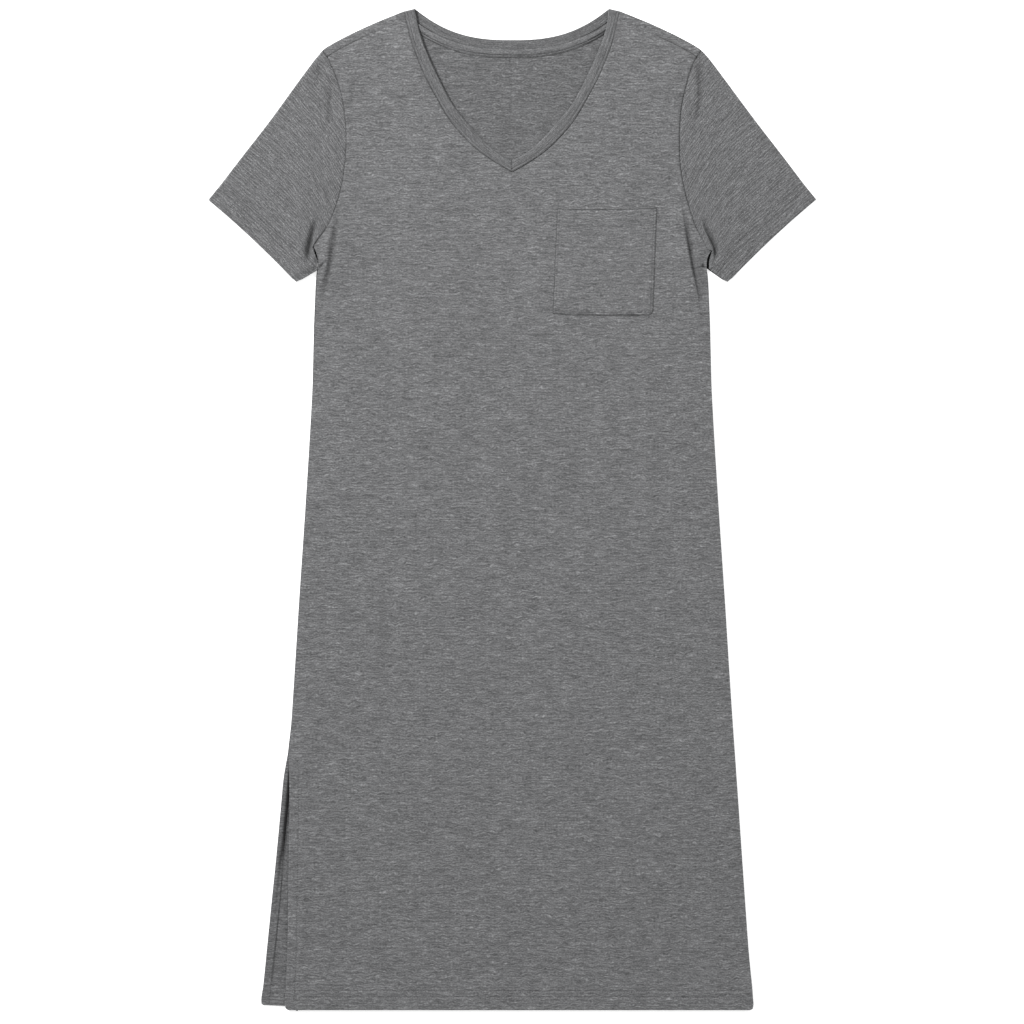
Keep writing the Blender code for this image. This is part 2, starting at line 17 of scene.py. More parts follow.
import bpy
import numpy as np
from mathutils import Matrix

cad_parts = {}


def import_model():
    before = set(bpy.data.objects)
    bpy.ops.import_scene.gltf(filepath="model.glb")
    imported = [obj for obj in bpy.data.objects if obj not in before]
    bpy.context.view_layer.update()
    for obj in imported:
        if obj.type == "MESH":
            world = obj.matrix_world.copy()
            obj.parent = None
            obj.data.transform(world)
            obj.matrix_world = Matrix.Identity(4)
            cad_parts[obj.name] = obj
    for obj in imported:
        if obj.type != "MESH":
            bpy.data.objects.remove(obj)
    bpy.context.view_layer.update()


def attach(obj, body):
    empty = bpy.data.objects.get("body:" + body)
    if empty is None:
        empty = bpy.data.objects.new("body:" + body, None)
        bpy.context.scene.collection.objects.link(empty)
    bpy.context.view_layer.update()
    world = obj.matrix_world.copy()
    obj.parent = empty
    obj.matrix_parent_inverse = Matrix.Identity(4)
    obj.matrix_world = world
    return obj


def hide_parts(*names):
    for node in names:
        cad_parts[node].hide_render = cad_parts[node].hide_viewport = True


LOG = logging.getLogger("dress")
Array = np.ndarray
Place = tuple[float, float]
Points = Sequence[Place]
Groove = tuple[float, float]  # its depth and its half width
Stretch = tuple[float, float, int]  # even steps: their start, their end and how many

BODY = "root"
PATTERN_MAP = "pattern"  # the UV map that holds each piece's place on its cloth, in metres
PAINTED_SHADE_ATTRIBUTE = "painted_shade"  # the attribute of painted shade: how much a point's colour is darkened where it lies in a seam, a fold or another shaded place; below 0 it is a painted highlight
SEAM_DIP_OF_FULL_SHADE = 0.00085  # a dip this deep at a seam gets the full painted shade
FOLD_DEPTH_OF_FULL_SHADE = 0.0069  # and so does a fold this deep
WELD = 1e-6
TINY = 1e-12  # keeps a division from having nothing below it


class Side(Enum):
    """The wearer's side that a half of the dress is on, as the sign of its X."""

    RIGHT = -1
    LEFT = 1


class Slot(Enum):
    """The record's material slots."""

    JERSEY = "jersey"
    INSIDE = "jersey_inside"
    TAPE = "tape"


@dataclass(frozen=True)
class Cloth:
    """Thicknesses of the jersey, the gaps between its pieces and the heights of their faces."""

    single: float = 0.0012
    turned: float = 0.0020
    tape: float = 0.0011
    pocket: float = 0.0012
    gap: float = 0.0002
    panel_gap: float = 0.0003  # between the front and the back where they lie closest
    seam_gap: float = 0.0001  # between two pieces that are sewn edge to edge
    fold_clearance: float = 0.0003  # where a fold's inner layer swings towards its neighbour
    body: float = 0.0032
    shoulder: float = 0.0044
    neck: float = 0.0050
    cuff: float = 0.0048
    band_point: float = 0.0043
    band_neck: float = 0.0051

    @property
    def lowest(self) -> float:
        """Height of the front's face where it lies closest to the back."""
        return 2 * self.single + self.panel_gap

    @property
    def hem(self) -> float:
        """Height of the front's face over two turned layers."""
        return 2 * self.turned + self.panel_gap

    def wall(self, turned: Array) -> Array:
        """Wall of cloth of which a share, from 0 to 1, is turned in."""
        return self.single + (self.turned - self.single) * turned


CLOTH = Cloth()

# Lengths along the dress
HEM_Y = -0.5594
BACK_HEM_Y = -0.5585
BACK_HEM_LIFT = 0.0045  # how much higher the back's hem lies at the open slit
HEM_DEPTH = 0.0220
HEM_ROWS_REACH = 0.0240  # the mesh is finer this far up from a hem
HEM_ROWS = (0.0136, 0.0204)  # the sewn rows' distances above the hem
HEM_ROW_SHADE = 0.0011  # each lies in the light just below a faint hollow
CUFF_ROWS = (0.0164, 0.0223)
CUFF_SAG = 0.0021  # how far the cuff's edge is drawn in at its middle
CUFF_RIM = {Side.RIGHT: 0.00030, Side.LEFT: 0.00055}  # how far its edge rolls over
CUFF_CORNER = 0.0011  # how far the cuff's lower corner is rounded off
SLIT_TURNING = 0.0097
FRONT_SLIT_TURNING = 0.0107
SLIT_TURNING_DRAWN = 0.0018  # how much narrower the back's turning looks at the top, where it rolls
TURN_STEP = 0.0009
UNDERARM_Y = 0.2978
V_POINT_Y = 0.3781
BACK_NECK_Y = 0.5260
NECK_TOP_Y = 0.5609
NECK_HALF_WIDTH = 0.1084
NECK_CURVE_POWER = 2.60
BAND_WIDTH = 0.0140
SLIT_TOP_Y = -0.2760
SHOULDER_WRAP = 0.0096  # the seam lies this far forward of the shoulder's fold

SIDE_EDGE = (
    (0.2660, -0.5594), (0.2688, -0.5581), (0.2698, -0.5550), (0.2695, -0.5450), (0.2688, -0.5350),
    (0.2657, -0.5032), (0.2608, -0.4370), (0.2531, -0.3250), (0.2453, -0.2130), (0.2382, -0.1010),
    (0.2307, 0.0110), (0.2240, 0.1230), (0.2206, 0.2350), (0.2190, 0.2630), (0.2178, 0.2710),
    (0.2173, 0.2790), (0.2190, 0.2880), (0.2212, 0.2978),
)
SIDE_SHARED = 12  # how many of the side's knots the front shares, from the hem to below the underarm
FRONT_SIDE_TOP = {  # the front's own edge at the underarm, from below it to the armhole's seam
    Side.RIGHT: (
        (0.2182, 0.2527), (0.2178, 0.2620), (0.2174, 0.2680), (0.2169, 0.2730), (0.2170, 0.2800),
        (0.2179, 0.2853), (0.2193, 0.2892), (0.2208, 0.2925), (0.2219, 0.2958),
    ),
    Side.LEFT: (
        (0.2184, 0.2616), (0.2178, 0.2695), (0.2177, 0.2730), (0.2179, 0.2784), (0.2191, 0.2834),
        (0.2209, 0.2870), (0.2229, 0.2898),
    ),
}
FRONT_SLIT_EDGE = (
    (0.2498, -0.5594), (0.2526, -0.5581), (0.2537, -0.5550), (0.2532, -0.5380), (0.2514, -0.4960),
    (0.2505, -0.4500), (0.2500, -0.4100), (0.2497, -0.3870), (0.2490, -0.3440), (0.2492, -0.2930),
    (0.2497, -0.2760),
)
BACK_SLIT_EDGE = (
    (0.2783, -0.5585), (0.2803, -0.5574), (0.2806, -0.5545), (0.2786, -0.5380), (0.2742, -0.4930),
    (0.2688, -0.4370), (0.2632, -0.3810), (0.2580, -0.3250), (0.2560, -0.3024), (0.2540, -0.2890),
    (0.2513, -0.2749), (0.2493, -0.2576), (0.2472, -0.2400),
)
BACK_SLIT_SHADE = (  # Y, X, half width and strength of the shade where the back's turning rolls over
    (-0.2930, 0.2498, 0.0008, 0.85),
    (-0.3024, 0.2502, 0.0015, 1.00),
    (-0.3158, 0.2506, 0.0021, 1.00),
    (-0.3292, 0.2518, 0.0024, 1.00),
    (-0.3426, 0.2530, 0.0024, 1.00),
    (-0.3560, 0.2543, 0.0025, 0.97),
    (-0.3695, 0.2556, 0.0026, 0.86),
    (-0.3829, 0.2575, 0.0026, 0.76),
    (-0.3963, 0.2599, 0.0019, 0.62),
    (-0.4097, 0.2611, 0.0016, 0.42),
    (-0.4231, 0.2626, 0.0015, 0.38),
    (-0.4366, 0.2640, 0.0014, 0.26),
    (-0.4500, 0.2652, 0.0013, 0.00),
)
ARMHOLE = (
    (0.2215, 0.2978), (0.2086, 0.3136), (0.1995, 0.3327), (0.1915, 0.3589), (0.1874, 0.3826),
    (0.1854, 0.4109), (0.1859, 0.4297), (0.1893, 0.4578), (0.1940, 0.4763), (0.2000, 0.4926),
    (0.2069, 0.5067), (0.2122, 0.5143),
)
BACK_ARMHOLE = (
    (0.2215, 0.2978), (0.2060, 0.3240), (0.1975, 0.3600), (0.1945, 0.4000), (0.1950, 0.4400),
    (0.1990, 0.4800), (0.2122, 0.5143),
)
# each armhole's own knots from the underarm, and how many of the shared ones they replace
ARMHOLE_START = {
    Side.RIGHT: (((0.2219, 0.2958), (0.2157, 0.3039), (0.2086, 0.3136)), 2),
    Side.LEFT: (
        ((0.2229, 0.2898), (0.2207, 0.2901), (0.2186, 0.2911), (0.2148, 0.2983), (0.2109, 0.3066),
         (0.2066, 0.3152), (0.2024, 0.3255), (0.1988, 0.3377), (0.1929, 0.3593), (0.1889, 0.3828),
         (0.1876, 0.4110), (0.1879, 0.4296), (0.1910, 0.4574), (0.1954, 0.4759)),
        9,
    ),
}
NECK_SEAM = (
    (0.0000, 0.3781), (0.0233, 0.3920), (0.0404, 0.4044), (0.0577, 0.4217), (0.0711, 0.4388),
    (0.0846, 0.4618), (0.0961, 0.4830), (0.1038, 0.5003), (0.1116, 0.5213), (0.1170, 0.5424),
    (0.1209, 0.5580),
)
NECK_EDGE = (
    (0.0000, 0.3909), (0.0148, 0.3988), (0.0304, 0.4112), (0.0421, 0.4238), (0.0539, 0.4372),
    (0.0636, 0.4488), (0.0733, 0.4643), (0.0832, 0.4838), (0.0930, 0.5050), (0.1026, 0.5302),
    (0.1054, 0.5401), (0.1084, 0.5609),
)
SHOULDER_FOLD = (
    (0.1209, 0.5580), (0.1546, 0.5443), (0.1846, 0.5303), (0.1935, 0.5257), (0.2016, 0.5212),
    (0.2091, 0.5166), (0.2122, 0.5143),
)
SLEEVE_FOLD = (
    (0.2122, 0.5143), (0.2157, 0.5099), (0.2196, 0.5054), (0.2263, 0.4965), (0.2374, 0.4816),
    (0.2699, 0.4368), (0.3046, 0.3920), (0.3252, 0.3651),
)
LEFT_FOLD_SHIFTS = (0.0, 0.0006, 0.0006, 0.0007, 0.0007, 0.0014, 0.0013, 0.0010)  # X to add, knot by knot
CUFF_TOP = {Side.RIGHT: (0.3398, 0.3471), Side.LEFT: (0.3405, 0.3475)}
CUFF_BOTTOM = (0.2413, 0.2541)
# the cuff's turning meets the underarm here, and the sleeve's edge runs to it from the armhole
CUFF_LINE_BOTTOM = {Side.RIGHT: (0.2175, 0.2682), Side.LEFT: (0.2202, 0.2698)}
SLEEVE_TUCK = {
    Side.RIGHT: ((0.2224, 0.2940), (0.2206, 0.2878), (0.2175, 0.2788)),
    Side.LEFT: ((0.2236, 0.2900), (0.2222, 0.2850), (0.2204, 0.2780)),
}
UNDERARM_RISE = {Side.RIGHT: 0.0046, Side.LEFT: 0.0044}  # height of the face there, held by the seams
UNDER_TUCK = ((0.2216, 0.2973), (0.2196, 0.2900), (0.2179, 0.2830))  # the lower layer goes in further
UNDER_CUFF_LINE_BOTTOM = (0.2180, 0.2705)
TUCK_SHARES = (0.855, 0.935, 1.0)
ARMHOLE_LAST_STEP = 0.0140
POCKET_CORNERS = ((0.0457, 0.2194), (0.1577, 0.2184), (0.1618, 0.3382), (0.0507, 0.3372))
POCKET_LOW_SAG = 0.0012
POCKET_SAG = 0.0016


def ease(value: Array | float) -> Array:
    """A smooth step from 0 to 1."""
    t = np.clip(value, 0.0, 1.0)
    return t * t * (3 - 2 * t)


@dataclass(frozen=True)
class Fade:
    """A smooth step from 0 at one place to 1 at another, which may lie to either side of it."""

    start: float
    end: float

    def at(self, place: Array | float) -> Array:
        """The step at places."""
        return ease((place - self.start) / (self.end - self.start))


@dataclass(frozen=True)
class Puff:
    """A soft rise, where the cloth stands up from what it lies on."""

    x: float
    y: float
    radius_x: float
    radius_y: float
    rise: float

    def at(self, x: Array, y: Array) -> Array:
        """Its height at points of the half at +X."""
        across, along = (x - self.x) / self.radius_x, (y - self.y) / self.radius_y
        return self.rise * np.exp(-(across**2) - along**2)


def running_length(points: Array) -> Array:
    """Distance along a polyline, from 0, at each of its points."""
    steps = np.linalg.norm(np.diff(points, axis=0), axis=1)
    return np.concatenate(([0.0], np.cumsum(steps)))


@dataclass(frozen=True)
class Line:
    """A polyline in the plane, looked up by the distance along it."""

    points: Array

    @classmethod
    def through(cls, knots: Points, per_span: int = 8) -> Line:
        """A smooth curve through points.

        Args:
            knots: the points.
            per_span: steps between two of them.

        Returns:
            The curve as a fine polyline.
        """
        places = np.array(knots, dtype=float)
        along = running_length(places)
        slopes = np.gradient(places, along, axis=0)
        spans = np.diff(along)[:, None, None]
        t = np.linspace(0.0, 1.0, per_span, endpoint=False)[None, :, None]
        start, end = places[:-1, None, :], places[1:, None, :]
        curve = (2 * t**3 - 3 * t**2 + 1) * start + (3 * t**2 - 2 * t**3) * end
        curve = curve + (t**3 - 2 * t**2 + t) * spans * slopes[:-1, None, :]
        curve = curve + (t**3 - t**2) * spans * slopes[1:, None, :]
        return cls(np.vstack((curve.reshape(-1, 2), places[-1])))

    @property
    def along(self) -> Array:
        """Distance from the start at each point."""
        return running_length(self.points)

    @property
    def length(self) -> float:
        """Length of the whole line."""
        return float(self.along[-1])

    def at(self, distance: Array | float) -> Array:
        """The points at distances from the start."""
        along = self.along
        return np.stack([np.interp(distance, along, self.points[:, axis]) for axis in (0, 1)], axis=-1)

    def share(self, share: Array | float) -> Array:
        """The points at shares of the length."""
        return self.at(np.asarray(share) * self.length)

    def x_at(self, y: Array | float) -> Array:
        """The half width at a height, for a line that rises."""
        return np.interp(y, self.points[:, 1], self.points[:, 0])

    def between(self, low: float, high: float) -> Line:
        """The stretch between two heights, for a line that rises."""
        inner = self.points[(self.points[:, 1] > low + WELD) & (self.points[:, 1] < high - WELD)]
        ends = [[float(self.x_at(y)), y] for y in (low, high)]
        return Line(np.vstack((ends[0], inner, ends[1])))

    def moved(self, distance: float) -> Line:
        """The line moved to the right of its own direction."""
        ahead = np.gradient(self.points, axis=0)
        ahead /= np.linalg.norm(ahead, axis=1)[:, None]
        return Line(self.points + distance * np.column_stack((ahead[:, 1], -ahead[:, 0])))

    def part(self, start: float, end: float, steps: int = 60) -> Line:
        """The stretch between two distances along the line."""
        return Line(self.at(np.linspace(start, end, steps)))

    def nearest(self, x: Array, y: Array) -> tuple[Array, Array]:
        """How far points are from the line.

        Args:
            x: the points' X.
            y: the points' Y.

        Returns:
            The distance, above 0 on the left of the line's direction, and how far along the line the
            nearest place is.
        """
        start, run = self.points[:-1], np.diff(self.points, axis=0)
        from_x, from_y = x[..., None] - start[:, 0], y[..., None] - start[:, 1]
        share = (from_x * run[:, 0] + from_y * run[:, 1]) / np.maximum((run**2).sum(axis=1), TINY)
        share = np.clip(share, 0.0, 1.0)
        away = np.hypot(from_x - share * run[:, 0], from_y - share * run[:, 1])
        best = away.argmin(axis=-1)[..., None]
        turn = np.sign(run[:, 0] * from_y - run[:, 1] * from_x)
        along = self.along[:-1] + share * np.linalg.norm(run, axis=1)
        picked = [np.take_along_axis(part, best, axis=-1)[..., 0] for part in (away, turn, along)]
        return picked[0] * np.where(picked[1] < 0, -1.0, 1.0), picked[2]


@dataclass(frozen=True)
class Crease:
    """A soft trough in the cloth, or a ridge where its depth is below 0.

    Its points run from the upper end to the lower one, in the half at +X. Its wall is steep where a half
    width is small: `inner` is the one towards the dress's centre and `outer` the one towards its side.
    """

    side: Side
    depth: float
    inner: float
    outer: float
    points: Points
    fade_top: float = 0.35
    fade_low: float = 0.35
    per_span: int = 4

    def depth_at(self, x: Array, y: Array) -> Array:
        """How deep the trough is at points of the half at +X."""
        line = Line.through(self.points, self.per_span)
        away, along = line.nearest(x, y)
        shares = along / line.length
        ends = ease(shares / self.fade_top) * ease((1 - shares) / self.fade_low)
        return self.depth * ends * np.exp(-((away / np.where(away > 0, self.outer, self.inner)) ** 2))


def creases_at(creases: Sequence[Crease], side: Side, x: Array, y: Array) -> Array:
    """The summed depth of one side's creases at points."""
    return sum((crease.depth_at(x, y) for crease in creases if crease.side is side), np.zeros_like(x))


SWELL_WAVES = 7
SWELL_PITCHES = (0.6, 1.7)  # the least and the greatest, as shares of a swell's size


def swell(x: Array, y: Array, seed: int, size: float, height: float) -> Array:
    """Broad, uneven swells, as cloth has where it doesn't lie quite flat.

    Args:
        x: the points' X.
        y: the points' Y.
        seed: picks the swells' directions and places.
        size: about the distance from one swell to the next.
        height: about the height of one swell.

    Returns:
        The height to add at each point.
    """
    draw = np.random.default_rng(seed)
    total = np.zeros_like(x)
    for _ in range(SWELL_WAVES):
        turn, start = draw.uniform(0, math.pi), draw.uniform(0, math.tau)
        pitch = size * draw.uniform(*SWELL_PITCHES)
        total += np.sin((x * math.cos(turn) + y * math.sin(turn)) * math.tau / pitch + start)
    return total * height / math.sqrt(SWELL_WAVES)


def groove(distance: Array, depth: Array | float, half_width: float) -> Array:
    """The depth of a narrow groove at a distance from its line."""
    return depth * np.exp(-((distance / half_width) ** 2))


def painted_shade(dips: Array, troughs: Array | float = 0.0) -> Array:
    """How much painted shade points get where they lie in a seam or a fold, from their depths there."""
    return np.clip((dips / SEAM_DIP_OF_FULL_SHADE) ** 2 + troughs / FOLD_DEPTH_OF_FULL_SHADE, 0.0, 1.0)


def mirrored(left: Sequence[Array], right: Sequence[Array]) -> list[Array]:
    """Whole grids from two sides' halves, each of them from the centre outwards."""
    return [np.concatenate((one[:, ::-1], other), axis=1) for one, other in zip(left, right)]


def end_to_end(left: Sequence[Array], right: Sequence[Array]) -> list[Array]:
    """Whole grids from two sides' halves whose first row is the same one, on the centre line."""
    return [np.concatenate((one[::-1], other[1:]), axis=0) for one, other in zip(left, right)]


def placed(side: Side, points: Array, height: Array) -> Array:
    """Points of the half at +X, taken to their own side and to their heights."""
    return np.concatenate((points * (side.value, 1), height[..., None]), axis=-1)


def graded(*stretches: Stretch) -> Array:
    """Rising values from stretches of even steps."""
    runs = [np.linspace(start, end, steps, endpoint=False) for start, end, steps in stretches]
    return np.concatenate((*runs, [stretches[-1][1]]))


# ---- finishes


def add_object(name: str, data: bpy.types.ID) -> bpy.types.Object:
    """Put a new object into the scene."""
    made = bpy.data.objects.new(name, data)
    bpy.context.scene.collection.objects.link(made)
    return made


def add_node(
    tree: bpy.types.NodeTree, kind: str, settings: dict[str, Any], inputs: dict[str | int, Any]
) -> bpy.types.Node:
    """Add a node to a tree.

    Args:
        tree: the node tree.
        kind: the node's type.
        settings: properties to set before its sockets are used.
        inputs: values of its sockets, or the sockets they are linked to, by name or place.

    Returns:
        The node.
    """
    made = tree.nodes.new(kind)
    for name, setting in settings.items():
        setattr(made, name, setting)
    for name, value in inputs.items():
        if isinstance(value, bpy.types.NodeSocket):
            tree.links.new(value, made.inputs[name])
        else:
            made.inputs[name].default_value = value
    return made


class Value:
    """A socket of a node tree that takes part in Python arithmetic."""

    def __init__(self, graph: Graph, socket: bpy.types.NodeSocket) -> None:
        """Keep the socket and the tree it is in."""
        self.graph = graph
        self.socket = socket

    def _math(self, operation: str, first: Any, second: Any) -> Value:
        """The result of a Math node on two values."""
        return self.graph.node("ShaderNodeMath", {"operation": operation}, {0: first, 1: second})

    def __add__(self, other: Any) -> Value:
        """This value plus another."""
        return self._math("ADD", self, other)

    __radd__ = __add__

    def __sub__(self, other: Any) -> Value:
        """This value less another."""
        return self._math("SUBTRACT", self, other)

    def __rsub__(self, other: Any) -> Value:
        """Another value less this one."""
        return self._math("SUBTRACT", other, self)

    def __mul__(self, other: Any) -> Value:
        """This value times another."""
        return self._math("MULTIPLY", self, other)

    __rmul__ = __mul__

    def __truediv__(self, other: Any) -> Value:
        """This value over another."""
        return self._math("DIVIDE", self, other)

    def __pow__(self, other: Any) -> Value:
        """This value to a power."""
        return self._math("POWER", self, other)


class Graph:
    """A material's node tree, built from expressions."""

    def __init__(self, name: str) -> None:
        """Start a material with its shader and output alone."""
        self.material = bpy.data.materials.new(name)
        self.material.use_nodes = True
        self.tree = self.material.node_tree
        self.shader = self.tree.nodes["Principled BSDF"]

    def node(
        self, kind: str, settings: dict[str, Any], inputs: dict[str | int, Any], output: int | str = 0
    ) -> Value:
        """Add a node, whose inputs may be values of this graph, and give the output that is wanted."""
        linked = {
            name: value.socket if isinstance(value, Value) else value for name, value in inputs.items()
        }
        return Value(self, add_node(self.tree, kind, settings, linked).outputs[output])

    def maths(self, operation: str, *values: Any) -> Value:
        """The result of a Math node of any operation."""
        return self.node("ShaderNodeMath", {"operation": operation}, dict(enumerate(values)))

    def feed(self, socket: str, value: Any) -> None:
        """Link a value to the shader, or set its socket."""
        if isinstance(value, Value):
            self.tree.links.new(value.socket, self.shader.inputs[socket])
        else:
            self.shader.inputs[socket].default_value = value

    def mixed(self, share: Value, low: tuple[float, ...], high: tuple[float, ...]) -> Value:
        """A colour between two."""
        settings = {"data_type": "RGBA", "clamp_factor": True}
        return self.node("ShaderNodeMix", settings, {"Factor": share, "A": low, "B": high}, output="Result")


GREY_SHARE = 0.4  # where the cloth's middle grey lies between black and the brightest fibre


@dataclass(frozen=True)
class Streaks:
    """One layer of marks in the yarn: their length, their height, how strong they are and their seed."""

    length: float
    height: float
    strength: float
    seed: float
    detail: float = 1.0


@dataclass(frozen=True)
class Jersey:
    """Heather jersey, knitted from dark and light fibres, which show as fine wavy streaks."""

    name: str
    shade: float = 0.150
    contrast: float = 0.40
    painted_shade_strength: float = 0.94  # how much of the colour the full painted shade takes away
    tint: tuple[float, float, float] = (0.992, 0.998, 1.020)
    streaks: tuple[Streaks, ...] = (
        Streaks(0.0058, 0.00105, 1.9, 3.1),
        Streaks(0.0021, 0.00100, 2.2, 11.7, 0.0),
        Streaks(0.0150, 0.00300, 1.2, 23.9),
        Streaks(0.0240, 0.01000, 0.95, 29.7),
        Streaks(0.0700, 0.05000, 0.25, 37.3),
    )
    wisps: Streaks = Streaks(0.0175, 0.0022, 2.3, 83.1, 0.0)  # sparse, longer and lighter hairs
    wisp_rarity: float = 0.15
    wisp_drop: float = 0.0014  # how far below itself a hair shades the cloth
    wisp_shade: float = 0.7
    wave: Streaks = Streaks(0.0110, 0.0070, 0.0050, 51.3)
    ripple: Streaks = Streaks(0.0130, 0.0034, 0.50, 67.9)  # fine wavy lines, one above the other
    ripple_drift: float = 1.6  # how far they stray, in lines
    wale: float = 0.00085
    course: float = 0.00062
    knit_relief: float = 0.00006
    streak_relief: float = 0.00010
    roughness: float = 0.93
    noise_roughness: float = 0.55
    sheen: float = 0.10
    sheen_roughness: float = 0.6
    specular: float = 0.25

    def marks(self, graph: Graph, u: Value, v: Value, layer: Streaks) -> Value:
        """A layer's noise, about 0."""
        parts = {0: u / layer.length + layer.seed, 1: v / layer.height, 2: 0.0}
        place = graph.node("ShaderNodeCombineXYZ", {}, parts)
        inputs = {"Vector": place, "Scale": 1.0, "Detail": layer.detail, "Roughness": self.noise_roughness}
        return graph.node("ShaderNodeTexNoise", {"noise_dimensions": "2D"}, inputs) - 0.5

    def knit(self, graph: Graph, u: Value, v: Value) -> Value:
        """Height of the stitches: columns of small slanting loops."""
        across = graph.maths("ABSOLUTE", graph.maths("FRACT", u / self.wale) - 0.5) * 2.0
        loops = graph.maths("SINE", (v / self.course + across * 0.5) * math.tau) * 0.5 + 0.5
        return loops * (1.0 - across**3.0)

    def material(self) -> bpy.types.Material:
        """Build the material."""
        graph = Graph(self.name)
        place = graph.node("ShaderNodeUVMap", {"uv_map": PATTERN_MAP}, {})
        u = graph.node("ShaderNodeSeparateXYZ", {}, {0: place}, 0)
        v = graph.node("ShaderNodeSeparateXYZ", {}, {0: place}, 1)
        wavy = v + self.marks(graph, u, v, self.wave) * self.wave.strength
        lines = wavy / self.ripple.height + self.marks(graph, u, wavy, self.ripple) * self.ripple_drift
        yarn = graph.maths("SINE", lines * math.tau) * self.ripple.strength
        for layer in self.streaks:
            yarn = yarn + self.marks(graph, u, wavy, layer) * layer.strength
        for height, strength in ((wavy, 1.0), (wavy + self.wisp_drop, -self.wisp_shade)):
            sparse = self.marks(graph, u, height, self.wisps) - self.wisp_rarity
            yarn = yarn + graph.maths("MAXIMUM", sparse, 0.0) * (self.wisps.strength * strength)
        # painted shade: the colour is darkened by the points' shade attribute in seams, folds and other
        # shaded places
        painted_shade_amount = graph.node("ShaderNodeAttribute", {"attribute_name": PAINTED_SHADE_ATTRIBUTE}, {}, "Fac")
        shade = graph.maths("EXPONENT", yarn * self.contrast) * (1.0 - painted_shade_amount * self.painted_shade_strength)
        full = tuple(part * self.shade / GREY_SHARE for part in self.tint)
        graph.feed("Base Color", graph.mixed(shade * GREY_SHARE, (0.0, 0.0, 0.0, 1.0), (*full, 1.0)))
        graph.feed("Roughness", self.roughness)
        graph.feed("Sheen Weight", self.sheen)
        graph.feed("Sheen Roughness", self.sheen_roughness)
        graph.feed("Specular IOR Level", self.specular)
        relief = self.knit(graph, u, wavy) * self.knit_relief + yarn * self.streak_relief
        bump = graph.node("ShaderNodeBump", {}, {"Strength": 1.0, "Distance": 1.0, "Height": relief})
        graph.feed("Normal", bump)
        return graph.material


# where the cloth is pulled straight, on the sleeves, and narrow strips where it runs in lines
STRAIGHT: dict[str, Any] = {
    "contrast": 0.46,
    "wave": Streaks(0.0160, 0.0080, 0.0020, 51.3),
    "ripple": Streaks(0.0190, 0.0029, 0.56, 67.9),
    "streaks": (
        Streaks(0.0046, 0.00085, 2.0, 3.1),
        Streaks(0.0017, 0.00080, 2.8, 11.7, 0.0),
        Streaks(0.0130, 0.00260, 0.8, 23.9),
        Streaks(0.0240, 0.01000, 0.60, 29.7),
    ),
    "wisps": Streaks(0.0150, 0.0016, 1.8, 83.1, 0.0),
}
STRIPED: dict[str, Any] = {
    "wave": Streaks(0.0200, 0.0080, 0.0006, 51.3),
    "ripple": Streaks(0.0300, 0.0024, 0.34, 67.9),
    "wisps": Streaks(0.0240, 0.0016, 1.6, 83.1, 0.0),
}


@dataclass(frozen=True)
class Thread:
    """Sewing thread: matt and spun. Its default grey is darker than the cloth's, partly painted shade of
    the hollows that its rows lie in.
    """

    name: str = "sewing_thread"
    dark: tuple[float, float, float] = (0.070, 0.070, 0.072)
    light: tuple[float, float, float] = (0.120, 0.120, 0.124)
    patch: float = 0.0009
    roughness: float = 0.75
    relief: tuple[float, float] = (0.5, 0.0001)  # strength and height of the spun thread's ridges

    def material(self) -> bpy.types.Material:
        """Build the material."""
        graph = Graph(self.name)
        place = graph.node("ShaderNodeTexCoord", {}, {}, "Object")
        inputs = {"Vector": place, "Scale": 1.0 / self.patch, "Detail": 2.0}
        shade = graph.node("ShaderNodeTexNoise", {}, inputs)
        graph.feed("Base Color", graph.mixed(shade, (*self.dark, 1.0), (*self.light, 1.0)))
        graph.feed("Roughness", self.roughness)
        strength, distance = self.relief
        ridges = {"Strength": strength, "Distance": distance, "Height": shade}
        bump = graph.node("ShaderNodeBump", {}, ridges)
        graph.feed("Normal", bump)
        return graph.material


@dataclass(frozen=True)
class Paper:
    """The plain pale floor."""

    name: str = "pale_floor"
    shade: tuple[float, float, float] = (0.93, 0.93, 0.93)
    mottle: float = 0.02
    mottle_scale: float = 9.0
    roughness: float = 0.9
    glow: float = 0.6  # the surface is lit from below, like a light table

    def material(self) -> bpy.types.Material:
        """Build the material."""
        graph = Graph(self.name)
        place = graph.node("ShaderNodeTexCoord", {}, {}, "Object")
        inputs = {"Vector": place, "Scale": self.mottle_scale, "Detail": 2.0}
        noise = graph.node("ShaderNodeTexNoise", {}, inputs)
        low = tuple(part - self.mottle for part in self.shade)
        graph.feed("Base Color", graph.mixed(noise, (*low, 1.0), (*self.shade, 1.0)))
        graph.feed("Roughness", self.roughness)
        graph.feed("Emission Color", (1.0, 1.0, 1.0, 1.0))
        graph.feed("Emission Strength", self.glow)
        return graph.material


# ---- building


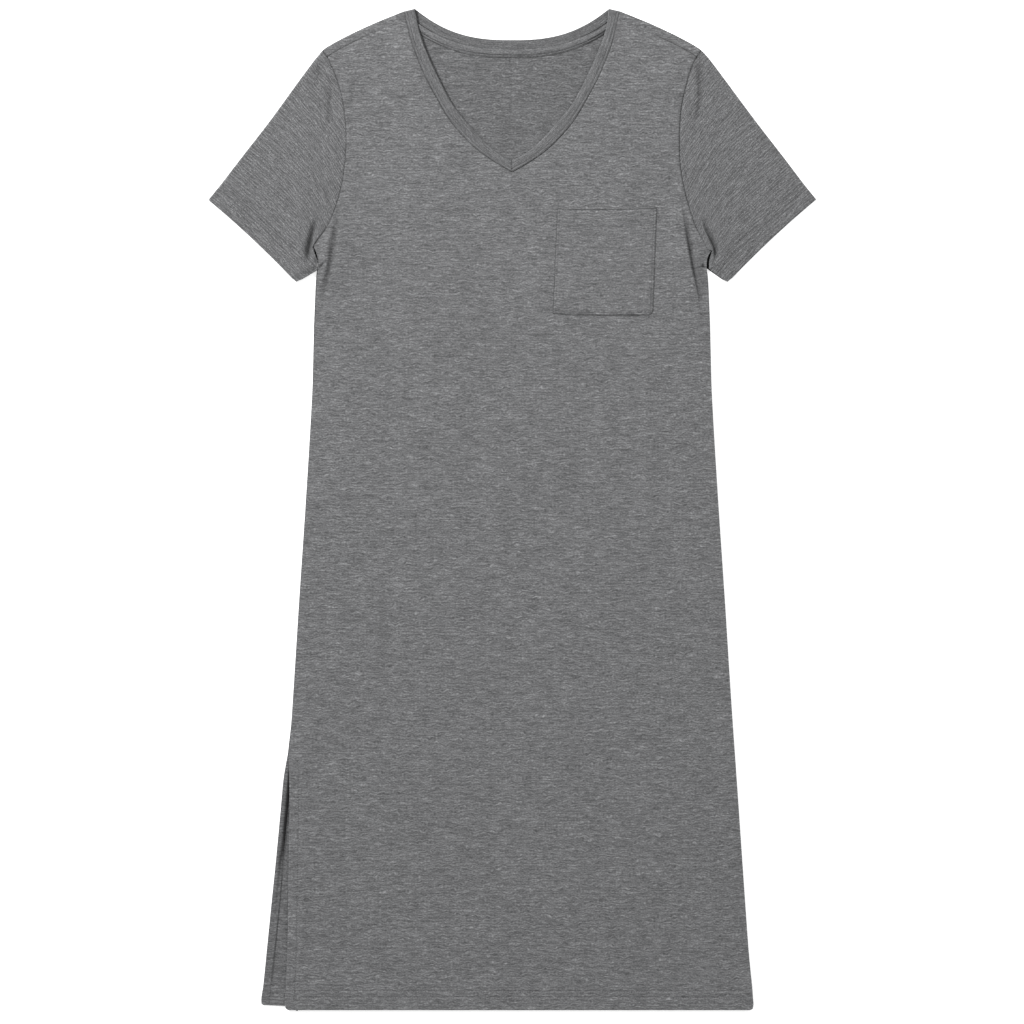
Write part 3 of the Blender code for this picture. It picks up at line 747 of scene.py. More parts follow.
@dataclass
class Sheet:
    """A grid of cloth: its outer face's points, their places on the cloth and the wall behind each.

    Each piece is cut at its own place on the cloth, so that no two have the same streaks.
    """

    name: str
    places: Array
    pattern: Array
    walls: Array
    painted_shade: Array  # painted shade at each point, from 0 to 1 in seams, folds and other shaded places, and below 0 a painted highlight
    flip: bool = False
    halves: bool = False  # made of two halves that are joined only where their points meet
    rim: float = 0.0002  # how much of a wall's edge is rounded off
    rim_segments: int = 2
    rim_angle: float = math.radians(50)  # edges sharper than this are rounded
    wall_digits: int = 3  # a wall's share of the thickest is rounded to this

    @property
    def strips(self) -> Array:
        """The columns that a strip of faces follows, which leaves out the one between two halves."""
        strips = np.arange(self.places.shape[1] - 1)
        return strips[strips != len(strips) // 2] if self.halves else strips

    @property
    def flat_area(self) -> float:
        """Area of the cut cloth."""
        low, high = self.pattern[:-1, :-1], self.pattern[1:, 1:]
        one, other = self.pattern[:-1, 1:], self.pattern[1:, :-1]
        first, second = high - low, other - one
        areas = np.abs(first[..., 0] * second[..., 1] - first[..., 1] * second[..., 0]) / 2
        return float(areas[:, self.strips].sum())

    @property
    def flat_size(self) -> tuple[float, float]:
        """Width and length of the rectangle that the cut cloth fills."""
        flat = self.pattern.reshape(-1, 2)
        width, length = flat.max(axis=0) - flat.min(axis=0)
        return float(width), float(length)

    def build(self, material: bpy.types.Material) -> bpy.types.Object:
        """Make the object.

        Args:
            material: its finish.

        Returns:
            The object, with its wall and rounded rims as modifiers.
        """
        rows, columns = self.places.shape[:2]
        index = np.arange(rows * columns).reshape(rows, columns)
        if self.halves:
            centre = columns // 2
            apart = np.linalg.norm(self.places[:, centre] - self.places[:, centre - 1], axis=-1)
            index[:, centre] = np.where(apart < WELD, index[:, centre - 1], index[:, centre])
        corners = [index[:-1, :-1], index[:-1, 1:], index[1:, 1:], index[1:, :-1]]
        faces = np.stack(corners[::-1] if self.flip else corners, axis=-1)[:, self.strips].reshape(-1, 4)
        used, faces = np.unique(faces, return_inverse=True)
        faces = faces.reshape(-1, 4)
        name = self.name + "_cloth"
        mesh = bpy.data.meshes.new(name)
        mesh.from_pydata(self.places.reshape(-1, 3)[used].tolist(), [], faces.tolist())
        loops = np.empty(len(mesh.loops), dtype=np.int32)
        mesh.loops.foreach_get("vertex_index", loops)
        flat = self.pattern.reshape(-1, 2).astype(np.float32)[used][loops]
        mesh.uv_layers.new(name=PATTERN_MAP).data.foreach_set("uv", flat.ravel())
        # each point's painted shade, by which the material darkens the colour
        depths = mesh.attributes.new(name=PAINTED_SHADE_ATTRIBUTE, type="FLOAT", domain="POINT")
        depths.data.foreach_set("value", self.painted_shade.reshape(-1).astype(np.float32)[used])
        mesh.shade_smooth()
        mesh.materials.append(material)
        piece = add_object(name, mesh)
        thickest = float(self.walls.max())
        shares = np.round(self.walls.ravel()[used] / thickest, self.wall_digits)
        group = piece.vertex_groups.new(name="wall")
        for share in np.unique(shares):
            group.add(np.flatnonzero(shares == share).tolist(), float(share), "REPLACE")
        wall = piece.modifiers.new("wall", "SOLIDIFY")
        wall.thickness = thickest
        wall.offset = -1.0
        wall.vertex_group = "wall"
        bevel = piece.modifiers.new("rims", "BEVEL")
        bevel.width = self.rim
        bevel.segments = self.rim_segments
        bevel.limit_method = "ANGLE"
        bevel.angle_limit = self.rim_angle
        return piece


@dataclass
class StitchRows:
    """Rows of sewing that lie along paths, each stitch a short soft capsule."""

    name: str
    paths: list[Array]
    pitch: float = 0.0027
    length: float = 0.0023
    thickness: float = 0.00042
    slack: float = 0.07  # how far a stitch may turn from its row, in radians
    segments: int = 6
    rings: int = 5
    seed: int = 5

    def tree(self, thread: bpy.types.Material) -> bpy.types.GeometryNodeTree:
        """Geometry nodes that set a stitch at each step of each path."""
        tree = bpy.data.node_groups.new(self.name, "GeometryNodeTree")
        sockets = (
            ("Paths", "INPUT", "NodeSocketGeometry"),
            ("Pitch", "INPUT", "NodeSocketFloat"),
            ("Length", "INPUT", "NodeSocketFloat"),
            ("Thickness", "INPUT", "NodeSocketFloat"),
            ("Slack", "INPUT", "NodeSocketFloat"),
            ("Seed", "INPUT", "NodeSocketInt"),
            ("Stitches", "OUTPUT", "NodeSocketGeometry"),
        )
        for name, in_out, kind in sockets:
            tree.interface.new_socket(name=name, in_out=in_out, socket_type=kind)

        def node(kind: str, settings: dict[str, Any], inputs: dict[str | int, Any]) -> Any:
            """Add a node and give its outputs."""
            return add_node(tree, kind, settings, inputs).outputs

        given = node("NodeGroupInput", {}, {})
        curve = node("GeometryNodeMeshToCurve", {}, {"Mesh": given["Paths"]})[0]
        lengths = {"Curve": curve, "Length": given["Pitch"]}
        steps = node("GeometryNodeResampleCurve", {"mode": "LENGTH"}, lengths)[0]
        facets = {"Segments": self.segments, "Rings": self.rings, "Radius": 0.5}
        ball = node("GeometryNodeMeshUVSphere", {}, facets)[0]
        sizes = {0: given["Length"], 1: given["Thickness"], 2: given["Thickness"]}
        size = node("ShaderNodeCombineXYZ", {}, sizes)[0]
        stitch = node("GeometryNodeTransform", {}, {"Geometry": ball, "Scale": size})[0]
        ahead = node("GeometryNodeInputTangent", {}, {})[0]
        turned = node("FunctionNodeAlignRotationToVector", {"axis": "X"}, {"Vector": ahead})[0]
        least = node("ShaderNodeMath", {"operation": "MULTIPLY"}, {0: given["Slack"], 1: -1.0})[0]
        drawn = tree.nodes.new("FunctionNodeRandomValue")
        drawn.data_type = "FLOAT"
        floats = [socket for socket in drawn.inputs if socket.type == "VALUE" and socket.enabled]
        tree.links.new(least, floats[0])
        tree.links.new(given["Slack"], floats[1])
        tree.links.new(given["Seed"], drawn.inputs["Seed"])
        angle = next(socket for socket in drawn.outputs if socket.enabled)
        yaw = node("ShaderNodeCombineXYZ", {}, {2: angle})[0]
        rotation = node("FunctionNodeEulerToRotation", {}, {0: yaw})[0]
        turns = {0: turned, 1: rotation}
        loose = node("FunctionNodeRotateRotation", {"rotation_space": "LOCAL"}, turns)[0]
        set_on = {"Points": steps, "Instance": stitch, "Rotation": loose}
        row = node("GeometryNodeInstanceOnPoints", {}, set_on)[0]
        real = node("GeometryNodeRealizeInstances", {}, {0: row})[0]
        smooth = node("GeometryNodeSetShadeSmooth", {}, {0: real})[0]
        dressed = node("GeometryNodeSetMaterial", {}, {"Geometry": smooth, "Material": thread})[0]
        node("NodeGroupOutput", {}, {0: dressed})
        return tree

    def build(self, thread: bpy.types.Material) -> bpy.types.Object:
        """Make the stitches as one plain mesh."""
        points = np.vstack(self.paths)
        edges, first = [], 0
        for path in self.paths:
            edges += [(first + i, first + i + 1) for i in range(len(path) - 1)]
            first += len(path)
        guide_mesh = bpy.data.meshes.new(self.name + "_guide")
        guide_mesh.from_pydata(points.tolist(), edges, [])
        guide = add_object(self.name + "_guide", guide_mesh)
        tree = self.tree(thread)
        modifier = guide.modifiers.new("stitches", "NODES")
        modifier.node_group = tree
        sizes = {
            "Pitch": self.pitch,
            "Length": self.length,
            "Thickness": self.thickness,
            "Slack": self.slack,
            "Seed": self.seed,
        }
        for item in tree.interface.items_tree:
            if item.name in sizes:
                modifier[item.identifier] = sizes[item.name]
        guide.update_tag()
        depsgraph = bpy.context.evaluated_depsgraph_get()
        mesh = bpy.data.meshes.new_from_object(guide.evaluated_get(depsgraph))
        mesh.name = self.name
        bpy.data.objects.remove(guide, do_unlink=True)
        bpy.data.meshes.remove(guide_mesh)
        return add_object(self.name, mesh)


# ---- the plan


@dataclass(frozen=True)
class Plan:
    """The lines that the pieces are cut and sewn along, for the half at +X."""

    side: Line = Line.through(SIDE_EDGE)
    front_slit: Line = Line.through(FRONT_SLIT_EDGE)
    back_slit: Line = Line.through(BACK_SLIT_EDGE)
    armhole: Line = Line.through(ARMHOLE)
    back_armhole: Line = Line.through(BACK_ARMHOLE)
    neck_seam: Line = Line.through(NECK_SEAM)
    neck_edge: Line = Line.through(NECK_EDGE)
    shoulder: Line = Line.through(SHOULDER_FOLD, 16)
    shoulder_ends: int = 8  # the shoulder seam leaves out this many of the fold's points at each end
    neck_steps: int = 48
    neck_ease: int = 3  # the power by which the back's neckline is brought to the shoulder's fold
    armholes: dict[Side, Line] = field(
        default_factory=lambda: {
            side: Line.through(start + ARMHOLE[replaced:])
            for side, (start, replaced) in ARMHOLE_START.items()
        }
    )
    front_sides: dict[Side, Line] = field(
        default_factory=lambda: {
            side: Line.through(SIDE_EDGE[:SIDE_SHARED] + top) for side, top in FRONT_SIDE_TOP.items()
        }
    )
    sleeve_folds: dict[Side, Line] = field(
        default_factory=lambda: {
            Side.RIGHT: Line.through(SLEEVE_FOLD),
            Side.LEFT: Line.through(
                [(x + more, y) for (x, y), more in zip(SLEEVE_FOLD, LEFT_FOLD_SHIFTS)]
            ),
        }
    )

    @staticmethod
    def edge_x(side: Side, y: Array, slit: Line, whole: Line) -> Array:
        """A panel's half width below the underarm, along its slit and then along the rest of its side."""
        width = whole.x_at(y)
        return np.where(y < slit.points[-1, 1], slit.x_at(y), width) if side is Side.RIGHT else width

    def fold_tip(self, distance: float, at_neck: bool) -> Array:
        """An end of the shoulder's fold, moved along it by a distance."""
        if at_neck:
            ahead = self.shoulder.points[1] - self.shoulder.points[0]
            return self.shoulder.points[0] + distance * ahead / np.linalg.norm(ahead)
        return self.shoulder.at(self.shoulder.length - distance)

    def seam_run(self, line: Line, tip: Array, shift: float) -> Line:
        """A seam's line moved to one side, up to where the shoulder's wrap begins, then to the tip."""
        cut = line.part(0.0, line.length - SHOULDER_WRAP).moved(shift)
        return Line(np.vstack((cut.points, tip)))

    def shoulder_seam(self) -> Line:
        """The forward shoulder seam, from the neck seam to the armhole."""
        start = self.neck_seam.at(self.neck_seam.length - SHOULDER_WRAP)
        end = self.armhole.at(self.armhole.length - SHOULDER_WRAP)
        middle = self.shoulder.moved(SHOULDER_WRAP).points[self.shoulder_ends : -self.shoulder_ends]
        return Line(np.vstack((start, middle, end)))

    def back_neck_edge(self) -> Line:
        """The edge of the back neck from the centre to the neck's fold."""
        shares = np.linspace(0.0, 1.0, self.neck_steps + 1)
        rise = (NECK_TOP_Y - BACK_NECK_Y) * shares**NECK_CURVE_POWER
        return Line(np.column_stack((NECK_HALF_WIDTH * shares, BACK_NECK_Y + rise)))

    def back_neck_seam(self) -> Line:
        """The back's neckline, a band's width from the neck's edge."""
        line = self.back_neck_edge().moved(BAND_WIDTH).points.copy()
        line[0][0] = 0.0
        line[:, 0] *= SHOULDER_FOLD[0][0] / line[-1][0]
        shares = np.linspace(0.0, 1.0, len(line))
        line[:, 1] += shares**self.neck_ease * (SHOULDER_FOLD[0][1] - line[-1][1])
        return Line(line)


PLAN = Plan()
HALF_GAP = CLOTH.seam_gap / 2
NECK_RISE = Fade(0.185, 0.105)  # where the shoulder rises towards the neck, by X
HELD_TO = {Side.RIGHT: Fade(0.5150, 0.5000), Side.LEFT: Fade(0.5000, 0.4400)}  # the edge is held to here
EDGE_FALL = 0.010  # over about this distance a face falls to its edge
ROW_SUNK = 0.00032  # how far a row of sewing sinks into the neck's pieces


def finish_piece(
    piece: bpy.types.Object,
    node: str | None = None,
    sheet: Sheet | None = None,
) -> None:
    """Attach a finished piece to the body, hide the CAD node that it stands for and log the size of the
    cloth it is cut from.

    Args:
        piece: the object.
        node: the CAD node that it stands for.
        sheet: the cloth it was made from.
    """
    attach(piece, BODY)
    if node is not None:
        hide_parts(node)
    if sheet is not None:
        width, length = (round(size, 4) for size in sheet.flat_size)
        area = min(sheet.flat_area, width * length)
        LOG.info("%s: cut %.3f x %.3f m, %.4f m2", piece.name, width, length, area)
    LOG.info("%s: built, %d faces before its wall", piece.name, len(piece.data.polygons))


# ---- the front

SEAM_DIP = 0.00044  # how far a panel's face rolls down into a seam
SEAM_ROLL = 0.0010  # over this distance
ARM_DIP = {  # how far it dips at each armhole's seam, by Y
    Side.RIGHT: ((0.3000, 0.00045), (0.4600, 0.00050), (0.4900, 0.00058)),
    Side.LEFT: (
        (0.3400, 0.00025), (0.4000, 0.00031), (0.4300, 0.00043), (0.4650, 0.00047), (0.4900, 0.00062),
    ),
}
ARM_FADE = {Side.RIGHT: 0.0160, Side.LEFT: 0.0020}  # those fade towards the underarms over this height
SHOULDER_DRAWN = 1.25  # how much deeper the shoulder's seam is, by the armholes
SHOULDER_DRAWN_FROM = Fade(0.152, 0.170)
NECK_DIP = {  # how far the face dips at the neck's seam, by Y
    Side.RIGHT: ((0.3800, 0.00036), (0.4200, 0.00044), (0.4650, 0.00058)),
    Side.LEFT: ((0.3800, 0.00030), (0.3950, 0.00035), (0.4200, 0.00043)),
}

FRONT_CREASES = (
    # the two long troughs below the underarms, steep on the side away from the light
    Crease(
        Side.RIGHT, 0.0031, 0.0042, 0.0034,
        ((0.1930, 0.3420), (0.1952, 0.3260), (0.1986, 0.3091), (0.2008, 0.2901), (0.2043, 0.2688),
         (0.2100, 0.2486), (0.2117, 0.2330), (0.2128, 0.2180)),
    ),
    Crease(
        Side.LEFT, 0.0036, 0.0013, 0.0046,
        ((0.1915, 0.3440), (0.1926, 0.3304), (0.1949, 0.3164), (0.1971, 0.3013), (0.2003, 0.2822),
         (0.2034, 0.2660), (0.2070, 0.2514), (0.2094, 0.2397), (0.2117, 0.2128)),
        0.30, 0.45,
    ),
    # small ones by the underarm
    Crease(Side.RIGHT, 0.0018, 0.0012, 0.0014, ((0.2080, 0.2775), (0.2120, 0.2742), (0.2166, 0.2700))),
    Crease(Side.LEFT, 0.0010, 0.0015, 0.0020, ((0.2075, 0.2730), (0.2105, 0.2640), (0.2140, 0.2540))),
    Crease(Side.LEFT, 0.0034, 0.0014, 0.0018, ((0.2116, 0.2742), (0.2142, 0.2722), (0.2172, 0.2704))),
    # faint ones beside the armholes
    Crease(Side.RIGHT, 0.00090, 0.0030, 0.0030, ((0.1814, 0.4880), (0.1792, 0.4680), (0.1774, 0.4440))),
    Crease(Side.LEFT, 0.00050, 0.0030, 0.0035, ((0.1790, 0.4860), (0.1770, 0.4620), (0.1760, 0.4400))),
    Crease(Side.LEFT, -0.0008, 0.0014, 0.0014, ((0.1205, 0.5482), (0.1250, 0.5487), (0.1300, 0.5470))),
)


def by_height(table: Points, y: Array | float) -> Array:
    """A value that a table gives by Y."""
    places, values = np.array(table).T
    return np.interp(y, places, values)


def arm_dips(side: Side, x: Array, y: Array) -> Array:
    """How far a face dips at an armhole's seam."""
    arm = PLAN.armholes[side]
    dips = groove(arm.nearest(x, y)[0], by_height(ARM_DIP[side], y), SEAM_ROLL)
    return dips * ease((y - arm.points[0][1]) / ARM_FADE[side])


def shoulder_dips(away: Array, x: Array) -> Array:
    """How far a face dips at the shoulder's seam, which is pressed flat by the neck."""
    return groove(away, SEAM_DIP, SEAM_ROLL) * SHOULDER_DRAWN * SHOULDER_DRAWN_FROM.at(x)


def shoulder_top(x: Array) -> Array:
    """Height of the shoulder's top face, which rises a little towards the neck."""
    return CLOTH.shoulder + (CLOTH.neck - CLOTH.shoulder) * NECK_RISE.at(x)


@dataclass
class FrontPanel:
    """The front: one piece with the V neck, set-in armholes, a hem and one side slit turned in."""

    name: str = "front_panel"
    columns: Array = field(
        default_factory=lambda: graded(
            (0, 0.008, 3), (0.008, 0.03, 3), (0.03, 0.84, 24), (0.84, 0.95, 34), (0.95, 1, 20)
        )
    )
    hem_rows: int = 32
    body_rows: int = 90
    chest_rows: int = 14
    underarm_rows: int = 38
    low_rows: int = 28
    high_rows: tuple[Stretch, ...] = ((0.0, 0.95, 44), (0.95, 1.0, 8))
    chest_y: float = 0.2000  # the rows lie closer above this
    near_underarm_y: float = 0.2500  # and closer still above this
    puff: Puff = Puff(0.2030, 0.2760, 0.0220, 0.0500, 0.0030)
    puff_inside: Fade = Fade(0.0, 0.012)
    neck_rise: Fade = Fade(0.44, 0.54)
    shoulder_rise: Fade = Fade(0.42, 0.51)
    underarm_from: Fade = Fade(0.2560, 0.2760)  # where the underarm's seams hold the edge up
    left_underarm_to: Fade = Fade(0.3200, 0.3000)
    slit_lift: float = 0.0016  # how far the slit's edge stands up below the slit's top
    slit_lift_from: Fade = Fade(-0.4100, -0.3500)
    slit_lift_to: Fade = Fade(-0.2780, -0.3080)
    swells: tuple[int, float, float] = (7, 0.11, 0.0002)  # seed, size and height
    swells_inside: Fade = Fade(0.0, 0.030)
    fullness: float = 0.0002  # how much higher the cloth lies away from its edges
    creases_inside: Fade = Fade(0.0, 0.004)
    pressed_hem: Fade = Fade(HEM_Y + HEM_DEPTH + 0.018, HEM_Y + HEM_DEPTH + 0.002)
    pressed_slit: Fade = Fade(0.030, 0.014)
    pressed_slit_to: Fade = Fade(SLIT_TOP_Y + 0.020, SLIT_TOP_Y - 0.010)
    slit_rim: Groove = (0.0004, 0.0006)  # how far the slit's edge rolls over
    slit_rim_from: Fade = Fade(SLIT_TOP_Y, SLIT_TOP_Y - 0.010)
    hem_row: Groove = (0.00034, 0.0007)
    slit_row: Groove = (0.00052, 0.0007)
    slit_row_to: Fade = Fade(SLIT_TOP_Y + 0.004, SLIT_TOP_Y - 0.002)
    row_end: float = 0.0010  # the hem's sewing ends this far from the side
    slit_row_end: float = 0.0012  # and the slit's this far above the hem's edge
    row_points: int = 60
    slit_row_points: int = 90

    def levels(self) -> Array:
        """Heights of the rows that run straight across."""
        return graded(
            (HEM_Y, HEM_Y + HEM_ROWS_REACH, self.hem_rows),
            (HEM_Y + HEM_ROWS_REACH, self.chest_y, self.body_rows),
            (self.chest_y, self.near_underarm_y, self.chest_rows),
            (self.near_underarm_y, UNDERARM_Y, self.underarm_rows),
        )

    def outline(self, side: Side) -> tuple[Array, Array, Array]:
        """The rows' inner and outer ends, and how far each has bent towards the shoulder's seam."""
        levels = self.levels()
        arm_start = float(PLAN.armholes[side].points[0][1])
        run = PLAN.armholes[side].between(arm_start, ARMHOLE[-1][1])
        arm = PLAN.seam_run(run, PLAN.fold_tip(HALF_GAP, False), -HALF_GAP)
        arm = arm.between(arm_start, float(arm.points[-2][1]))
        split = float(np.interp(V_POINT_Y, arm.points[:, 1], arm.along))
        low = arm.at(np.linspace(0.0, split, self.low_rows + 1)[1:])
        rises = graded(*self.high_rows)[1:]
        high = arm.at(split + (arm.length - split) * rises)
        neck = PLAN.seam_run(PLAN.neck_seam, PLAN.fold_tip(HALF_GAP, True), HALF_GAP)
        neck = Line(neck.points[:-1])
        neck.points[0] = (0.0, V_POINT_Y - 2 * CLOTH.seam_gap)
        v_point = neck.points[0][1]
        up = levels + (arm_start - UNDERARM_Y) * Fade(self.near_underarm_y, UNDERARM_Y).at(levels)
        edge = np.column_stack((PLAN.edge_x(side, up, PLAN.front_slit, PLAN.front_sides[side]), up))
        centre = np.column_stack((np.zeros(len(levels)), levels))
        rise = np.linspace(UNDERARM_Y, v_point, self.low_rows + 1)[1:]
        low_centre = np.column_stack((np.zeros(len(low)), rise))
        outer = np.vstack((edge, low, high))
        inner = np.vstack((centre, low_centre, neck.share(rises)))
        bends = np.concatenate((np.zeros(len(levels) + len(low)), rises))
        return inner, outer, bends

    def height(self, side: Side, x: Array, y: Array, inside: Array) -> Array:
        """Height of the outer face, without its seams.

        Args:
            side: which half.
            x: the points' distance from the centre line.
            y: the points' Y.
            inside: their distance from the panel's side.

        Returns:
            The height at each point.
        """
        level = CLOTH.body + (CLOTH.shoulder - CLOTH.body) * self.shoulder_rise.at(y)
        level = level + (CLOTH.neck - CLOTH.shoulder) * self.neck_rise.at(y) * NECK_RISE.at(x)
        raised = self.underarm_from.at(y)
        if side is Side.LEFT:
            raised = raised * self.left_underarm_to.at(y)
        edge = CLOTH.lowest + (UNDERARM_RISE[side] - CLOTH.lowest) * raised
        by_edge = np.exp(-inside / EDGE_FALL)
        height = level + (edge - level) * HELD_TO[side].at(y) * by_edge
        height = height + self.puff.at(x, y) * self.puff_inside.at(inside)
        if side is Side.RIGHT:
            height = height + self.slit_lift * self.slit_lift_from.at(y) * self.slit_lift_to.at(y) * by_edge
        swells = swell(x * side.value, y, *self.swells) + self.fullness
        height = height + swells * self.swells_inside.at(inside)
        height = height - creases_at(FRONT_CREASES, side, x, y) * self.creases_inside.at(inside)
        turned = self.pressed_hem.at(y)
        if side is Side.RIGHT:
            turned = np.maximum(turned, self.pressed_slit.at(inside) * self.pressed_slit_to.at(y))
        height = height + (CLOTH.hem - height) * turned
        if side is Side.RIGHT:
            height = height - groove(inside, *self.slit_rim) * self.slit_rim_from.at(y)
        return np.maximum(height, CLOTH.lowest)

    def sewn(self, side: Side, x: Array, y: Array, inside: Array) -> Array:
        """How far the face dips at seams and sewn rows."""
        dips = arm_dips(side, x, y)
        dips += groove(PLAN.neck_seam.nearest(x, y)[0], by_height(NECK_DIP[side], y), SEAM_ROLL)
        dips += shoulder_dips(PLAN.shoulder_seam().nearest(x, y)[0], x)
        for row in HEM_ROWS:
            dips += groove(y - (HEM_Y + row + HEM_ROW_SHADE), *self.hem_row)
        if side is Side.RIGHT:
            dips += groove(inside - FRONT_SLIT_TURNING, *self.slit_row) * self.slit_row_to.at(y)
        return dips

    def half(self, side: Side) -> tuple[Array, Array, Array]:
        """One half's points, walls and painted shade."""
        inner, outer, bends = self.outline(side)
        shares = self.columns[None, :, None]
        points = inner[:, None, :] + (outer - inner)[:, None, :] * shares
        seam = PLAN.shoulder_seam()
        bow = seam.share(self.columns) - (inner[-1] + (outer[-1] - inner[-1]) * self.columns[:, None])
        points = points + bow[None, :, :] * (bends**2)[:, None, None]
        x, y = points[..., 0], points[..., 1]
        inside = np.linalg.norm(outer[:, None, :] - points, axis=-1)
        dips = self.sewn(side, x, y, inside)
        height = self.height(side, x, y, inside) - dips
        depth = painted_shade(dips, creases_at(FRONT_CREASES, side, x, y))
        turned = ease((HEM_Y + HEM_DEPTH - y) / TURN_STEP)
        if side is Side.RIGHT:
            by_slit = ease((SLIT_TURNING - inside) / TURN_STEP) * (y < SLIT_TOP_Y)
            turned = np.maximum(turned, by_slit)
        return placed(side, points, height), CLOTH.wall(turned), depth

    def sheet(self) -> Sheet:
        """The whole panel."""
        places, walls, depth = mirrored(self.half(Side.RIGHT), self.half(Side.LEFT))
        return Sheet(self.name, places, places[..., :2].copy(), walls, depth, halves=True)

    def rows(self) -> list[Array]:
        """Paths of the hem's and the slit's sewing."""
        paths = []
        for row in HEM_ROWS:
            halves = []
            for side in Side:
                y = np.array(HEM_Y + row)
                edge = float(PLAN.edge_x(side, y, PLAN.front_slit, PLAN.front_sides[side]))
                x = np.linspace(0.0, edge - self.row_end, self.row_points)
                level = np.full_like(x, y)
                inside = edge - x
                z = self.height(side, x, level, inside) - self.sewn(side, x, level, inside)
                halves.append(np.column_stack((x * side.value, level, z)))
            paths.append(np.vstack((halves[0][::-1], halves[1][1:])))
        y = np.linspace(HEM_Y + self.slit_row_end, SLIT_TOP_Y, self.slit_row_points)
        x = PLAN.front_slit.x_at(y) - FRONT_SLIT_TURNING
        inside = np.full_like(x, FRONT_SLIT_TURNING)
        z = self.height(Side.RIGHT, x, y, inside) - self.sewn(Side.RIGHT, x, y, inside)
        paths.append(np.column_stack((-x, y, z)))
        return paths


# ---- the back


